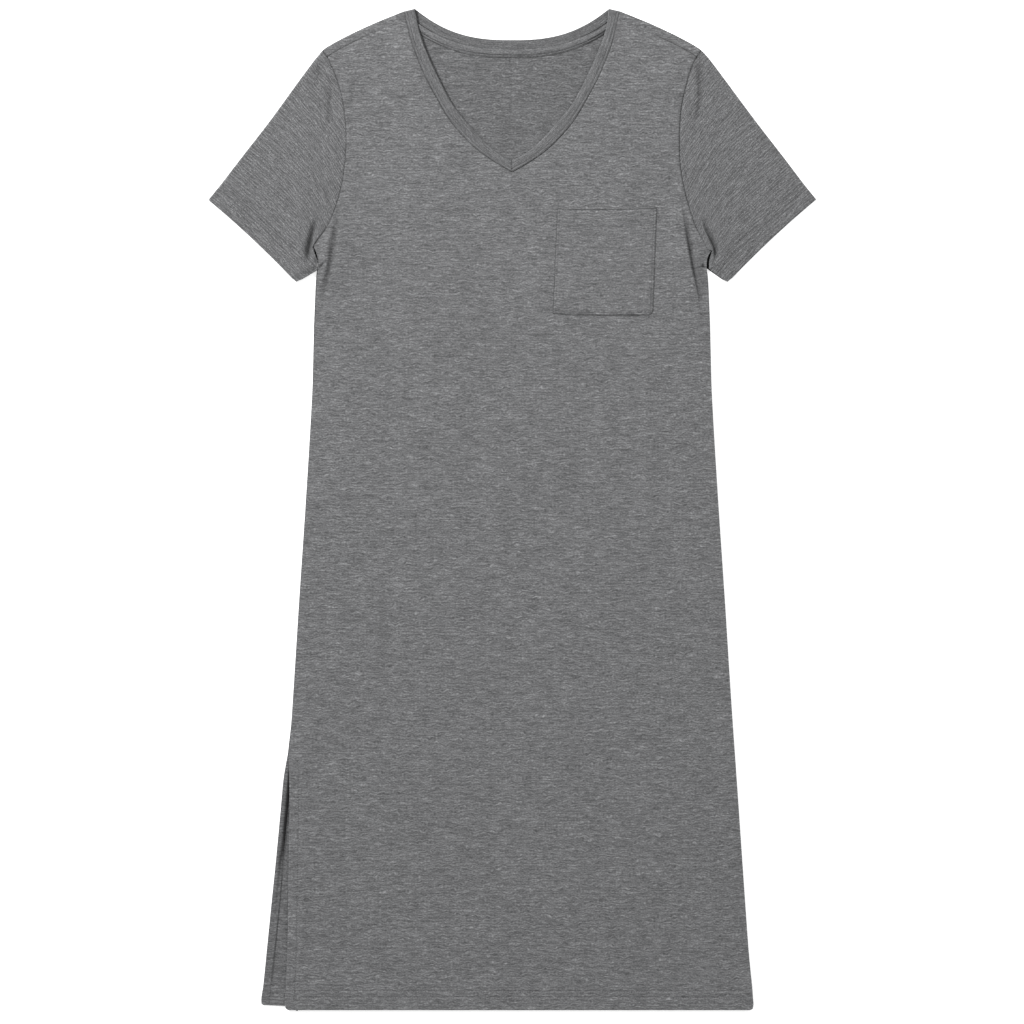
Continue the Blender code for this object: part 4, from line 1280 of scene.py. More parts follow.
@dataclass
class BackPanel:
    """The back: flat on the surface, then round the shoulder's fold to the forward seam."""

    name: str = "back_panel"
    columns: Array = field(
        default_factory=lambda: graded((0, 0.87, 24), (0.87, 0.945, 10), (0.945, 1, 28))
    )
    hem_rows: int = 28
    body_rows: int = 70
    low_rows: int = 12
    high_rows: int = 34
    fold_steps: int = 5
    wrap_steps: tuple[Stretch, ...] = ((0, 0.6, 2), (0.6, 1, 5))
    centre_share: float = 0.385  # of the high rows, the ones that start on the centre line
    hem_lift_from: Fade = Fade(-0.40, -0.55)
    hem_lift_power: int = 3  # the lift grows so towards the slit
    inside_shade: float = 0.10  # the inside lies in the front's shade, and deeper in the neck's opening
    neck_shade: float = 0.165
    neck_shade_from: Fade = Fade(0.3000, 0.4000)
    drawn_from: Fade = Fade(-0.4366, -0.3826)  # where the slit's turning looks narrower
    hem_row: Groove = (0.0004, 0.0010)
    slit_row: Groove = (0.0004, 0.0007)
    row_from: float = 0.006  # the slit's sewing starts this far above the hem
    row_to: float = 0.060  # and ends this far below the slit's top
    row_inside: float = 0.0012  # this far from the turning's raw edge
    row_height: float = 0.00005
    row_points: int = 90
    cut_at: Place = (0.0, 1.7)

    def half(self, side: Side) -> tuple[Array, Array, Array]:
        """One half's points, walls and painted shade."""
        above_hem = BACK_HEM_Y + HEM_ROWS_REACH
        levels = graded((BACK_HEM_Y, above_hem, self.hem_rows), (above_hem, UNDERARM_Y, self.body_rows))
        tip_neck, tip_arm = PLAN.fold_tip(HALF_GAP, True), PLAN.fold_tip(HALF_GAP, False)
        arm = PLAN.seam_run(PLAN.back_armhole.between(UNDERARM_Y, ARMHOLE[-1][1]), tip_arm, -HALF_GAP)
        neck = PLAN.seam_run(PLAN.back_neck_seam(), tip_neck, HALF_GAP)
        neck.points[0][0] = 0.0
        front_arm = PLAN.seam_run(PLAN.armhole.between(UNDERARM_Y, ARMHOLE[-1][1]), tip_arm, -HALF_GAP)
        front_neck = PLAN.seam_run(PLAN.neck_seam, tip_neck, HALF_GAP)
        seam = PLAN.shoulder_seam()
        arm_cut = arm.length - float(np.linalg.norm(arm.points[-1] - arm.points[-2]))
        neck_cut = neck.length - float(np.linalg.norm(neck.points[-1] - neck.points[-2]))
        split = float(np.interp(V_POINT_Y, arm.points[:, 1], arm.along))
        low = arm.at(np.linspace(0.0, split, self.low_rows + 1)[1:])
        rises = np.linspace(0.0, 1.0, self.high_rows + 1)[1:]
        high = arm.at(split + (arm_cut - split) * rises)
        up_centre = np.minimum(rises / self.centre_share, 1.0)
        centre_y = V_POINT_Y + (neck.points[0][1] - V_POINT_Y) * up_centre
        along = np.clip((rises - self.centre_share) / (1 - self.centre_share), 0.0, 1.0)
        on_neck = neck.at(neck_cut * along)
        starts = np.where(along[:, None] > 0, on_neck, np.column_stack((np.zeros(len(rises)), centre_y)))
        edge = np.column_stack((PLAN.edge_x(side, levels, PLAN.back_slit, PLAN.side), levels))
        outer = np.vstack((edge, low, high))
        flat = np.column_stack((np.zeros(len(levels) + len(low)), np.concatenate((levels, low[:, 1]))))
        inner = np.vstack((flat, starts))
        shares = self.columns[None, :, None]
        points = inner[:, None, :] + (outer - inner)[:, None, :] * shares
        if side is Side.RIGHT:
            towards_slit = self.columns[None, :] ** self.hem_lift_power
            points[..., 1] += BACK_HEM_LIFT * towards_slit * self.hem_lift_from.at(points[..., 1])
        heights = np.zeros(points.shape[:2])

        def near_fold(distance: Array, lower: bool) -> Array:
            """A row at each column's distance from the fold, on the back or on the front of it."""
            fold, end = PLAN.shoulder.share(self.columns), seam.share(self.columns)
            row = fold + (end - fold) * distance[:, None] / SHOULDER_WRAP
            on_neck, on_arm = (neck, arm) if lower else (front_neck, front_arm)
            row[0] = on_neck.at(on_neck.length - distance[0])
            row[-1] = on_arm.at(on_arm.length - distance[-1])
            return row

        bends = np.concatenate((np.zeros(len(flat)), rises))
        wrap = np.full(len(self.columns), SHOULDER_WRAP)
        bow = near_fold(wrap, True) - (inner[-1] + (outer[-1] - inner[-1]) * self.columns[:, None])
        points = points + bow[None, :, :] * (bends**2)[:, None, None]
        radius = shoulder_top(PLAN.shoulder.share(self.columns)[:, 0]) / 2
        rows, tops = [], []
        for angle in np.linspace(-math.pi / 2, math.pi / 2, 2 * self.fold_steps + 1):
            row = near_fold(radius * (1 - math.cos(angle)), angle < 0)
            rows.append(row)
            drawn = arm_dips(side, row[:, 0], row[:, 1]) * (angle > 0)
            tops.append(radius * (1 + math.sin(angle)) - drawn)
        for share in graded(*self.wrap_steps)[1:]:
            distance = radius + (SHOULDER_WRAP - CLOTH.seam_gap - radius) * share
            row = near_fold(distance, False)
            rows.append(row)
            drawn = shoulder_dips(wrap - distance, row[:, 0]) + arm_dips(side, row[:, 0], row[:, 1])
            tops.append(2 * radius - drawn)
        points = np.concatenate((points, np.array(rows)), axis=0)
        heights = np.concatenate((heights, np.array(tops)))
        inside = np.linalg.norm(outer[:, None, :] - points[: len(outer)], axis=-1)
        up_hem = inner[:, None, 1] - BACK_HEM_Y - HEM_DEPTH * np.ones_like(inside)
        turned = ease(-up_hem / TURN_STEP)
        dips = groove(up_hem, *self.hem_row)
        x, y = points[: len(outer), :, 0], points[: len(outer), :, 1]
        in_neck = self.neck_shade_from.at(y)
        shade = self.inside_shade + (self.neck_shade - self.inside_shade) * in_neck
        if side is Side.RIGHT:
            by_slit = inner[:, None, 1] < SLIT_TOP_Y
            turning = SLIT_TURNING - SLIT_TURNING_DRAWN * self.drawn_from.at(y)
            turned = np.maximum(turned, ease((turning - inside) / TURN_STEP) * by_slit)
            dips = np.maximum(dips, groove(inside - turning, *self.slit_row) * by_slit)
            table = np.array(BACK_SLIT_SHADE[::-1])
            centre, half, strength = (np.interp(y, table[:, 0], column) for column in table[:, 1:].T)
            within = (y < BACK_SLIT_SHADE[0][0]) & (y > BACK_SLIT_SHADE[-1][0])
            shade = shade + strength * within * np.exp(-(((x - centre) / half) ** 2))
        walls = np.full(points.shape[:2], CLOTH.single)
        walls[: len(outer)] += (CLOTH.turned - CLOTH.single) * turned
        depth = np.zeros(points.shape[:2])
        depth[: len(outer)] = np.clip(painted_shade(dips) + shade, 0.0, 1.0)
        fold = heights[len(outer) :]
        depth[len(outer) :] = painted_shade(2 * radius - fold) * (fold > radius)
        return placed(side, points, heights), walls, depth

    def sheet(self) -> Sheet:
        """The whole panel."""
        places, walls, depth = mirrored(self.half(Side.RIGHT), self.half(Side.LEFT))
        pattern = places[..., :2] + self.cut_at
        pattern[..., 1] += places[..., 2]
        return Sheet(self.name, places, pattern, walls, depth, flip=True, halves=True)

    def rows(self) -> list[Array]:
        """Paths of the sewing on the slit's turning, on the side that shows."""
        y = np.linspace(BACK_HEM_Y + self.row_from, SLIT_TOP_Y - self.row_to, self.row_points)
        x = PLAN.back_slit.x_at(y) - (SLIT_TURNING - self.row_inside)
        z = np.full_like(x, CLOTH.turned + self.row_height)
        return [np.column_stack((-x, y, z))]


# ---- sleeves

SLEEVE_CREASES = (
    Crease(
        Side.RIGHT, 0.0042, 0.0029, 0.0034,
        ((0.2150, 0.3330), (0.2200, 0.3187), (0.2238, 0.3064), (0.2263, 0.2960), (0.2277, 0.2860),
         (0.2274, 0.2780), (0.2266, 0.2705)),
        0.50, 0.28,
    ),
    Crease(
        Side.LEFT, 0.0044, 0.0013, 0.0034,
        ((0.2110, 0.3330), (0.2150, 0.3200), (0.2194, 0.3085), (0.2234, 0.2995), (0.2260, 0.2937),
         (0.2270, 0.2880), (0.2271, 0.2820), (0.2268, 0.2765)),
        0.58, 0.25,
    ),
    # the sleeve head's ease
    Crease(
        Side.RIGHT, 0.0014, 0.0032, 0.0034,
        ((0.2125, 0.5060), (0.2150, 0.4930), (0.2185, 0.4790), (0.2215, 0.4620)),
    ),
    Crease(
        Side.RIGHT, 0.0012, 0.0028, 0.0030,
        ((0.2020, 0.4880), (0.2030, 0.4700), (0.2034, 0.4500), (0.2034, 0.4230)),
    ),
    Crease(
        Side.LEFT, 0.0019, 0.0021, 0.0048,
        ((0.2062, 0.5060), (0.2080, 0.4960), (0.2096, 0.4789), (0.2098, 0.4566), (0.2062, 0.4361),
         (0.2020, 0.4190)),
        0.20, 0.45,
    ),
)
SLEEVE_CUT_AT = {Side.RIGHT: (3.0, 6.0), Side.LEFT: (3.0, 4.0)}


@dataclass
class Sleeve:
    """A sleeve folded along its top: under layer, fold and upper layer, open at both ends."""

    side: Side
    under_columns: int = 40
    fold_steps: int = 6
    upper_columns: int = 70
    underarm_columns: int = 44
    rows_along: tuple[Stretch, ...] = (  # from the armhole, and on the cuff from 1 on
        (0, 0.015, 4), (0.015, 0.05, 4), (0.05, 0.22, 18), (0.22, 1, 46), (1, 2, 32),
    )
    underarm_share: float = 0.80  # the upper layer's columns lie closer past this share of its width
    fold_room: float = 1.15  # how much more of the width than the fold's own is kept for it
    fold_step: float = 0.02  # the share over which a row's width is measured by the fold
    lower_tuck: Fade = Fade(0.85, 1.0)  # where the lower layer goes in further
    corner_across: Fade = Fade(0.93, 1.0)
    corner_turn: Fade = Fade(0.7, 1.0)
    crown: float = 0.0008  # how much higher the sleeve's middle is
    swells: tuple[int, float, float] = (12, 0.07, 0.00016)  # seed, size and height
    puff: Puff = Puff(0.2300, 0.2900, 0.0170, 0.0300, 0.0022)
    puff_along: Fade = Fade(0.0, 0.1)
    puff_across: Fade = Fade(1.0, 0.94)
    pressed_along: Fade = Fade(0.6, 1.0)
    cuff_row: Groove = (0.00036, 0.0008)
    cuff_rim_width: float = 0.0007
    row_across: Stretch = (0.022, 0.975, 70)  # where the cuff is sewn, as shares across
    under_shade: Fade = Fade(0.88, 0.91)  # the lower layer is in its own shade past here
    grain_turn: float = 0.30  # how far the streaks follow the armhole, from 0, not at all, to 1
    grain_along: Fade = Fade(1.0, 0.1)

    @property
    def fold(self) -> Line:
        """The sleeve's fold."""
        return PLAN.sleeve_folds[self.side]

    @property
    def turn_top(self) -> Array:
        """Where the cuff's turning meets the fold."""
        return self.fold.points[-1]

    @property
    def cuff(self) -> tuple[Array, Array, Array, Array]:
        """The cuff's upper and lower corners, its run between them and the way in from its edge."""
        top, low = np.array(CUFF_TOP[self.side]), np.array(CUFF_BOTTOM)
        run = (low - top) / np.linalg.norm(low - top)
        return top, low, run, np.array((run[1], -run[0]))

    @property
    def name(self) -> str:
        """The piece's and its node's name."""
        return "sleeve_left" if self.side is Side.LEFT else "sleeve_right"

    def arm(self, line: Line, tuck: Points) -> tuple[Array, Array]:
        """The seam's points from the fold to the tuck, and their shares of the way across."""
        fold_start = self.fold.at(CLOTH.fold_clearance)
        seam = PLAN.seam_run(line.between(float(line.points[0][1]), ARMHOLE[-1][1]), fold_start, HALF_GAP)
        points = seam.points[::-1][:-1]
        along = Line(points).along
        shares = along / (along[-1] + ARMHOLE_LAST_STEP) * TUCK_SHARES[0]
        return np.vstack((points, tuck)), np.concatenate((shares, TUCK_SHARES))

    def turn_line(self, under: bool, across: Array) -> Array:
        """Points on the cuff's turning, from the fold to the underarm."""
        top, low = self.turn_top, np.array(CUFF_LINE_BOTTOM[self.side])
        line = top + (low - top) * across[..., None]
        tuck = np.array(UNDER_CUFF_LINE_BOTTOM) - low
        return line + tuck * self.lower_tuck.at(across)[..., None] if under else line

    def on_row(
        self, arm: tuple[Array, Array], along: Array, across: Array, under: bool
    ) -> Array:
        """Points on the straight lines from the armhole to the cuff's turning."""
        points, shares = arm
        start = np.stack([np.interp(across, shares, points[:, axis]) for axis in (0, 1)], axis=-1)
        end = self.turn_line(under, across)
        fold_start = self.fold.at(CLOTH.fold_clearance)
        fold = self.fold.part(CLOTH.fold_clearance, self.fold.length)
        straight = fold_start + (self.turn_top - fold_start) * along[..., None]
        bow = (fold.share(along) - straight) * ((1 - across) ** 2)[..., None]
        return start + (end - start) * along[..., None] + bow

    def on_cuff(self, turn: Array, across: Array, under: bool) -> Array:
        """Points between the cuff's turning and its edge."""
        top, low, run, inward = self.cuff
        start = self.turn_line(under, across)
        sag = CUFF_SAG * 4 * across * (1 - across)
        edge = top + (low - top) * across[..., None] + inward * sag[..., None]
        corner = CUFF_CORNER * self.corner_across.at(across) * self.corner_turn.at(turn)
        return start + (edge - start) * turn[..., None] + (inward - run) * corner[..., None]

    def height(self, points: Array, along: Array, across: Array) -> Array:
        """Height of the upper face, without its seam."""
        x, y = points[..., 0], points[..., 1]
        swells = swell(x * self.side.value, y, *self.swells) + self.crown * np.sin(math.pi * along)
        height = CLOTH.shoulder + (CLOTH.cuff - CLOTH.shoulder) * ease(along)
        height = height + swells * np.sin(math.pi * across)
        height = height + self.puff.at(x, y) * self.puff_along.at(along) * self.puff_across.at(across)
        height = height - creases_at(SLEEVE_CREASES, self.side, x, y)
        least = CLOTH.lowest + (CLOTH.hem - CLOTH.lowest) * self.pressed_along.at(along)
        return np.maximum(height, least)

    def sewn(self, points: Array) -> Array:
        """How far the upper face dips at the armhole's seam and the cuff's rows."""
        dips = arm_dips(self.side, points[..., 0], points[..., 1])
        depth = self.cuff_depth(points)
        for row in CUFF_ROWS:
            dips += groove(depth - row, *self.cuff_row)
        return dips + groove(depth, CUFF_RIM[self.side], self.cuff_rim_width)

    def cuff_depth(self, points: Array) -> Array:
        """Distance from the cuff's edge."""
        top, low, run, inward = self.cuff
        offset = points - top
        share = np.clip(offset @ run / np.linalg.norm(low - top), 0.0, 1.0)
        return offset @ inward - CUFF_SAG * 4 * share * (1 - share)

    def sheet(self) -> Sheet:
        """The whole sleeve."""
        rows = graded(*self.rows_along)
        along, turn = np.minimum(rows, 1.0), np.maximum(rows - 1.0, 0.0)
        radius = (CLOTH.shoulder + (CLOTH.cuff - CLOTH.shoulder) * ease(along)) / 2
        upper_arm = self.arm(PLAN.armholes[self.side], SLEEVE_TUCK[self.side])
        under_arm = self.arm(PLAN.back_armhole, UNDER_TUCK)
        angles = np.linspace(-math.pi / 2, math.pi / 2, 2 * self.fold_steps + 1)
        near = self.on_row(upper_arm, along, np.zeros_like(along), False)
        step = np.full_like(along, self.fold_step)
        per_share = np.linalg.norm(self.on_row(upper_arm, along, step, False) - near, axis=-1) / step
        fold_start, near_seam = float((radius / per_share).max()) * self.fold_room, self.underarm_share
        under = np.linspace(1.0, fold_start, self.under_columns)
        upper = graded((fold_start, near_seam, self.upper_columns), (near_seam, 1.0, self.underarm_columns))
        blocks = []
        for columns, layer, is_upper in ((under, under_arm, False), (upper, upper_arm, True)):
            grid_along = np.repeat(along[:, None], len(columns), axis=1)
            grid_turn = np.repeat(turn[:, None], len(columns), axis=1)
            across = np.repeat(columns[None, :], len(rows), axis=0)
            points = self.on_row(layer, grid_along, across, not is_upper)
            cuff = self.on_cuff(grid_turn, across, not is_upper)
            points = np.where((grid_turn > 0)[..., None], cuff, points)
            if is_upper:
                dips = self.sewn(points)
                height = self.height(points, grid_along, across) - dips
                folds = creases_at(SLEEVE_CREASES, self.side, points[..., 0], points[..., 1])
                depth = painted_shade(dips, folds)
            else:
                height = np.zeros(points.shape[:2])
                depth = self.under_shade.at(across)
            blocks.append((points, height, depth, across))
        fold = []
        for angle in angles:
            across = radius * (1 - math.cos(angle)) / per_share
            layer = under_arm if angle < 0 else upper_arm
            points = self.on_row(layer, along, across, angle < 0)
            points = np.where((turn > 0)[:, None], self.on_cuff(turn, across, angle < 0), points)
            dips = arm_dips(self.side, points[:, 0], points[:, 1]) * (angle > 0)
            fold.append((points, radius * (1 + math.sin(angle)) - dips, painted_shade(dips), across))
        wrapped = [np.stack(parts, axis=1) for parts in zip(*fold)]
        joined = (np.concatenate(parts, axis=1) for parts in zip(blocks[0], wrapped, blocks[1]))
        points, height, painted_shades, across = joined
        layer_sign = np.concatenate((-np.ones(len(under)), np.sign(angles), np.ones(len(upper))))
        pattern = self.pattern(points, along, turn, across, layer_sign)
        turned = ease((HEM_DEPTH - self.cuff_depth(points)) / TURN_STEP)
        places, walls = placed(self.side, points, height), CLOTH.wall(turned)
        return Sheet(self.name, places, pattern, walls, painted_shades, flip=self.side is Side.RIGHT)

    def pattern(
        self, points: Array, along: Array, turn: Array, across: Array, sign: Array
    ) -> Array:
        """Places on the cloth: u along the cuff, on both sides of the fold, and v up the sleeve."""
        top, _, run, _ = self.cuff
        u = (points - top) @ run
        fold_u = u[:, sign == 0]
        u = fold_u + np.where(sign < 0, -1.0, 1.0) * (u - fold_u)
        straight = self.cuff_depth(points)
        ruled = (HEM_DEPTH * (1 - turn) + (1 - along) * self.fold.length)[:, None]
        turned = self.grain_turn * self.grain_along.at(along)[:, None] * (1 - across**2)
        v = straight + (ruled - straight) * turned
        return np.stack((u, v), axis=-1) + SLEEVE_CUT_AT[self.side]

    def rows(self) -> list[Array]:
        """Paths of the cuff's sewing on the upper face."""
        paths = []
        across = np.linspace(*self.row_across)
        full = self.cuff_depth(self.turn_line(False, across))
        for row in CUFF_ROWS:
            points = self.on_cuff(1 - row / full, across, False)
            height = self.height(points, np.ones_like(across), across) - self.sewn(points)
            paths.append(placed(self.side, points, height))
        return paths


# ---- the neck

# by Y, the painted shade on the band's folded edge, and below 0 a painted highlight where it turns towards
# the light
BAND_EDGE_SHADE = {
    Side.RIGHT: (
        (0.3900, 0.35), (0.4200, 0.35), (0.4500, 0.50), (0.4700, 0.64), (0.4957, 0.76), (0.5120, 0.96),
    ),
    Side.LEFT: ((0.3900, -0.40), (0.4200, -0.25), (0.5600, -0.20)),
}
TAPE_END_SHADE = {Side.RIGHT: 0.80, Side.LEFT: 1.80}  # how much more painted shade the tape's lines get by its ends, where the band shades them


@dataclass
class Neckband:
    """One folded strip round the neck, mitred at the point of the V."""

    name: str = "neckband"
    across: Array = field(
        default_factory=lambda: graded((0, 0.12, 5), (0.12, 0.62, 7), (0.62, 1, 15))
    )
    front_steps: tuple[Stretch, ...] = ((0.0, 0.03, 14), (0.03, 1.0, 165))
    back_steps: int = 70
    fold_steps: int = 7
    fold_room: float = 1.05  # how much more than its radius the fold takes of the band's length
    point_fall: Fade = Fade(0.85, 0.25)  # where the band is lower, towards the point of the V
    seam_width: float = 0.8 * SEAM_ROLL
    edge_roll: Groove = (0.0006, 0.0010)
    edge_shade_width: float = 0.0009
    mitre: Groove = (0.0005, 0.0007)  # the seam at the point of the V
    row: Groove = (0.00034, 0.0007)
    row_place: float = 0.72  # the sewn row's share of the way from the neck's edge to the seam
    row_along: Stretch = (0.008, 1.0, 110)  # and where it runs, from the point of the V to the shoulder
    drawn_in: float = 0.0010  # how much wider the wearer's right side lies
    drawn_from: Fade = Fade(0.4000, 0.4400)
    drawn_to: Fade = Fade(NECK_TOP_Y, NECK_TOP_Y - 0.0120)
    # painted shade over the band's back, which lies inside the neck, with a darker line along it
    back_shade: float = 0.06
    back_line: tuple[float, float, float] = (0.10, 0.42, 0.09)  # its shade, place and half width
    cut_at: Place = (9.0, 8.0)

    def lines(self, side: Side) -> dict[str, Line]:
        """The band's edges and seams on the front and the back of one side."""
        tip = PLAN.fold_tip(-HALF_GAP, True)
        back_seam = PLAN.seam_run(PLAN.back_neck_seam(), tip, -HALF_GAP)
        back_seam.points[0][0] = 0.0
        front_edge = PLAN.neck_edge.points.copy()
        if side is Side.RIGHT:
            up = front_edge[:, 1]
            front_edge[:, 0] -= self.drawn_in * self.drawn_from.at(up) * self.drawn_to.at(up)
        return {
            "front_seam": PLAN.seam_run(PLAN.neck_seam, tip, -HALF_GAP),
            "back_seam": back_seam,
            "front_edge": Line(front_edge),
            "back_edge": PLAN.back_neck_edge(),
        }

    def top(self, rises: Array) -> Array:
        """Height of the front's face of the band, from the point of the V, at 0, to the shoulder."""
        return CLOTH.band_neck + (CLOTH.band_point - CLOTH.band_neck) * self.point_fall.at(rises)

    def cut(self, line: Line) -> float:
        """How far along a seam or an edge its flat part ends, where the shoulder's fold begins."""
        return line.length - CLOTH.band_neck / 2 * self.fold_room

    def flat_profile(self, seam_dip: float) -> Array:
        """How far the face dips across the band at the seam and at its sewn row."""
        from_seam = (1 - self.across) * BAND_WIDTH
        from_row = (self.across - self.row_place) * BAND_WIDTH
        return groove(from_seam, seam_dip, self.seam_width) + groove(from_row, *self.row)

    def half(self, side: Side) -> tuple[Array, Array, Array, Array]:
        """One half's points, pattern, walls and painted shade, from the back's centre to the V's point."""
        lines = self.lines(side)
        back = np.linspace(0.0, 1.0, self.back_steps + 1)
        front = graded(*self.front_steps)[::-1]
        angles = np.linspace(-math.pi / 2, math.pi / 2, 2 * self.fold_steps + 1)
        radius = CLOTH.band_neck / 2
        rows, heights = [], []

        def between(edge: Array, seam: Array) -> Array:
            """A row of points from the neck's edge to the seam."""
            return edge + (seam - edge) * self.across[:, None]

        for share in back:
            edge = lines["back_edge"].at(self.cut(lines["back_edge"]) * share)
            seam = lines["back_seam"].at(self.cut(lines["back_seam"]) * share)
            rows.append(between(edge, seam))
            heights.append(np.zeros(len(self.across)))
        for angle in angles:
            which = "back" if angle < 0 else "front"
            edge, seam = lines[which + "_edge"], lines[which + "_seam"]
            distance = radius * (1 - math.cos(angle))
            rows.append(between(edge.at(edge.length - distance), seam.at(seam.length - distance)))
            heights.append(np.full(len(self.across), radius * (1 + math.sin(angle))))
        from_edge = self.across * BAND_WIDTH
        rolled = groove(from_edge, *self.edge_roll)
        profiles = []
        for share in front:
            edge = lines["front_edge"].at(self.cut(lines["front_edge"]) * share)
            seam = lines["front_seam"].at(self.cut(lines["front_seam"]) * share)
            rows.append(between(edge, seam))
            profiles.append(self.flat_profile(float(by_height(NECK_DIP[side], seam[1]))))
            heights.append(self.top(np.full(len(self.across), share)) - profiles[-1] - rolled)
        points, height = np.array(rows), np.array(heights)
        on_front = len(rows) - len(front)
        points[on_front:, :, 0] = np.maximum(points[on_front:, :, 0], HALF_GAP)
        mitre = groove(points[on_front:, :, 0], *self.mitre)
        height[on_front:] -= mitre
        dips = np.array(profiles) + mitre
        middle = points[:, len(self.across) // 2]
        steps = np.hypot(np.linalg.norm(np.diff(middle, axis=0), axis=1), np.diff(height[:, 0]))
        along = np.concatenate(([0.0], np.cumsum(steps)))
        u = np.repeat(along[:, None], len(self.across), axis=1)
        v = np.repeat(from_edge[None, :], len(rows), axis=0)
        pattern = np.stack((u * side.value, v), axis=-1) + self.cut_at
        places = placed(side, points, height)
        depth = np.zeros(height.shape)
        depth[on_front:] = painted_shade(dips)
        on_fold = self.back_steps + 1 + self.fold_steps
        # painted shade along the band's folded edge, and a painted highlight where the table is below 0
        strength = by_height(BAND_EDGE_SHADE[side], points[on_fold:, 0, 1])[:, None]
        depth[on_fold:] += groove(from_edge, strength, self.edge_shade_width)
        shade, place, half_width = self.back_line
        depth[: self.back_steps + 1] = self.back_shade + groove(self.across - place, shade, half_width)
        return places, pattern, np.full(height.shape, CLOTH.turned), depth

    def sheet(self) -> Sheet:
        """The whole band."""
        return Sheet(self.name, *end_to_end(self.half(Side.RIGHT), self.half(Side.LEFT)), flip=True)

    def rows(self) -> list[Array]:
        """Paths of the sewing on the front's band."""
        paths = []
        shares = np.linspace(*self.row_along)
        height = self.top(shares) - ROW_SUNK
        for side in Side:
            lines = self.lines(side)
            edge = lines["front_edge"].at(self.cut(lines["front_edge"]) * shares)
            seam = lines["front_seam"].at(self.cut(lines["front_seam"]) * shares)
            points = edge + (seam - edge) * self.row_place
            paths.append(placed(side, points, height))
        return paths


@dataclass
class NeckTape:
    """The narrow tape over the back neck's seam, on the inside."""

    name: str = "neck_tape"
    starts_below: float = 0.0100
    wide: float = 0.0100
    reach: float = 0.93
    row_above: float = 0.0029
    row: Groove = (0.00052, 0.0006)
    upper_edge: Groove = (0.0006, 0.0011)  # each edge lies in its own shade, as if it were so deep
    lower_edge: Groove = (0.00055, 0.0006)
    near_end: Fade = Fade(0.0720, 0.0970)
    off_band: Fade = Fade(0.45, 1.0)  # the shares of its width over which it comes off the band
    edge_wall: float = 0.14  # its wall at an edge, as a share of the whole one
    edge_width: float = 0.0022
    rim: float = 0.0003
    columns: Array = field(
        default_factory=lambda: graded((0, 0.1, 2), (0.1, 0.5, 3), (0.5, 1, 10))
    )
    steps: int = 90
    cut_at: Place = (12.0, 10.0)

    def bottom(self, share: Array) -> Array:
        """Height of the lower face, falling off the band's edge onto the back."""
        on_band, on_back = CLOTH.turned + CLOTH.gap, CLOTH.single + CLOTH.seam_gap
        return on_band + (on_back - on_band) * self.off_band.at(share)

    def walls(self) -> Array:
        """The tape's wall, thinner towards its edges."""
        from_edge = np.minimum(self.columns, 1 - self.columns) * self.wide
        return CLOTH.tape * (self.edge_wall + (1 - self.edge_wall) * ease(from_edge / self.edge_width))

    def line(self, share: float) -> Line:
        """A line along the tape, at a share of its width."""
        edge = PLAN.back_neck_edge()
        line = edge.moved(self.starts_below + self.wide * share)
        line.points[0][0] = 0.0
        return line.part(0.0, line.length * self.reach, self.steps + 1)

    def half(self, side: Side) -> tuple[Array, Array, Array]:
        """One half's points, pattern and painted shade."""
        lines = [self.line(float(share)) for share in self.columns]
        points = np.stack([line.points for line in lines], axis=1)
        height = np.repeat((self.bottom(self.columns) + self.walls())[None, :], len(points), axis=0)
        u = np.repeat(lines[len(lines) // 2].along[:, None], len(self.columns), axis=1)
        v = np.repeat((self.columns * self.wide)[None, :], len(points), axis=0)
        dips = groove(v - (self.wide - self.row_above), *self.row)
        places = placed(side, points, height - dips)
        dips = dips + groove(v, *self.upper_edge) + groove(self.wide - v, *self.lower_edge)
        # painted shade: the tape's lines darken towards its ends, in the band's shadow
        end_shade = 1 + TAPE_END_SHADE[side] * self.near_end.at(points[..., 0])
        return places, np.stack((u * side.value, v), axis=-1) + self.cut_at, painted_shade(dips * end_shade)

    def sheet(self) -> Sheet:
        """The whole tape."""
        places, pattern, depth = end_to_end(self.half(Side.RIGHT), self.half(Side.LEFT))
        walls = np.repeat(self.walls()[None, :], len(places), axis=0)
        return Sheet(self.name, places, pattern, walls, depth, rim=self.rim)

    def rows(self) -> list[Array]:
        """The path of the sewing near the tape's lower edge."""
        share = 1 - self.row_above / self.wide
        points = self.line(share).points
        height = np.full(len(points), float(self.bottom(share)) + CLOTH.tape - ROW_SUNK)
        half = np.column_stack((points, height))
        return end_to_end([half * (-1, 1, 1)], [half])


# ---- the pocket


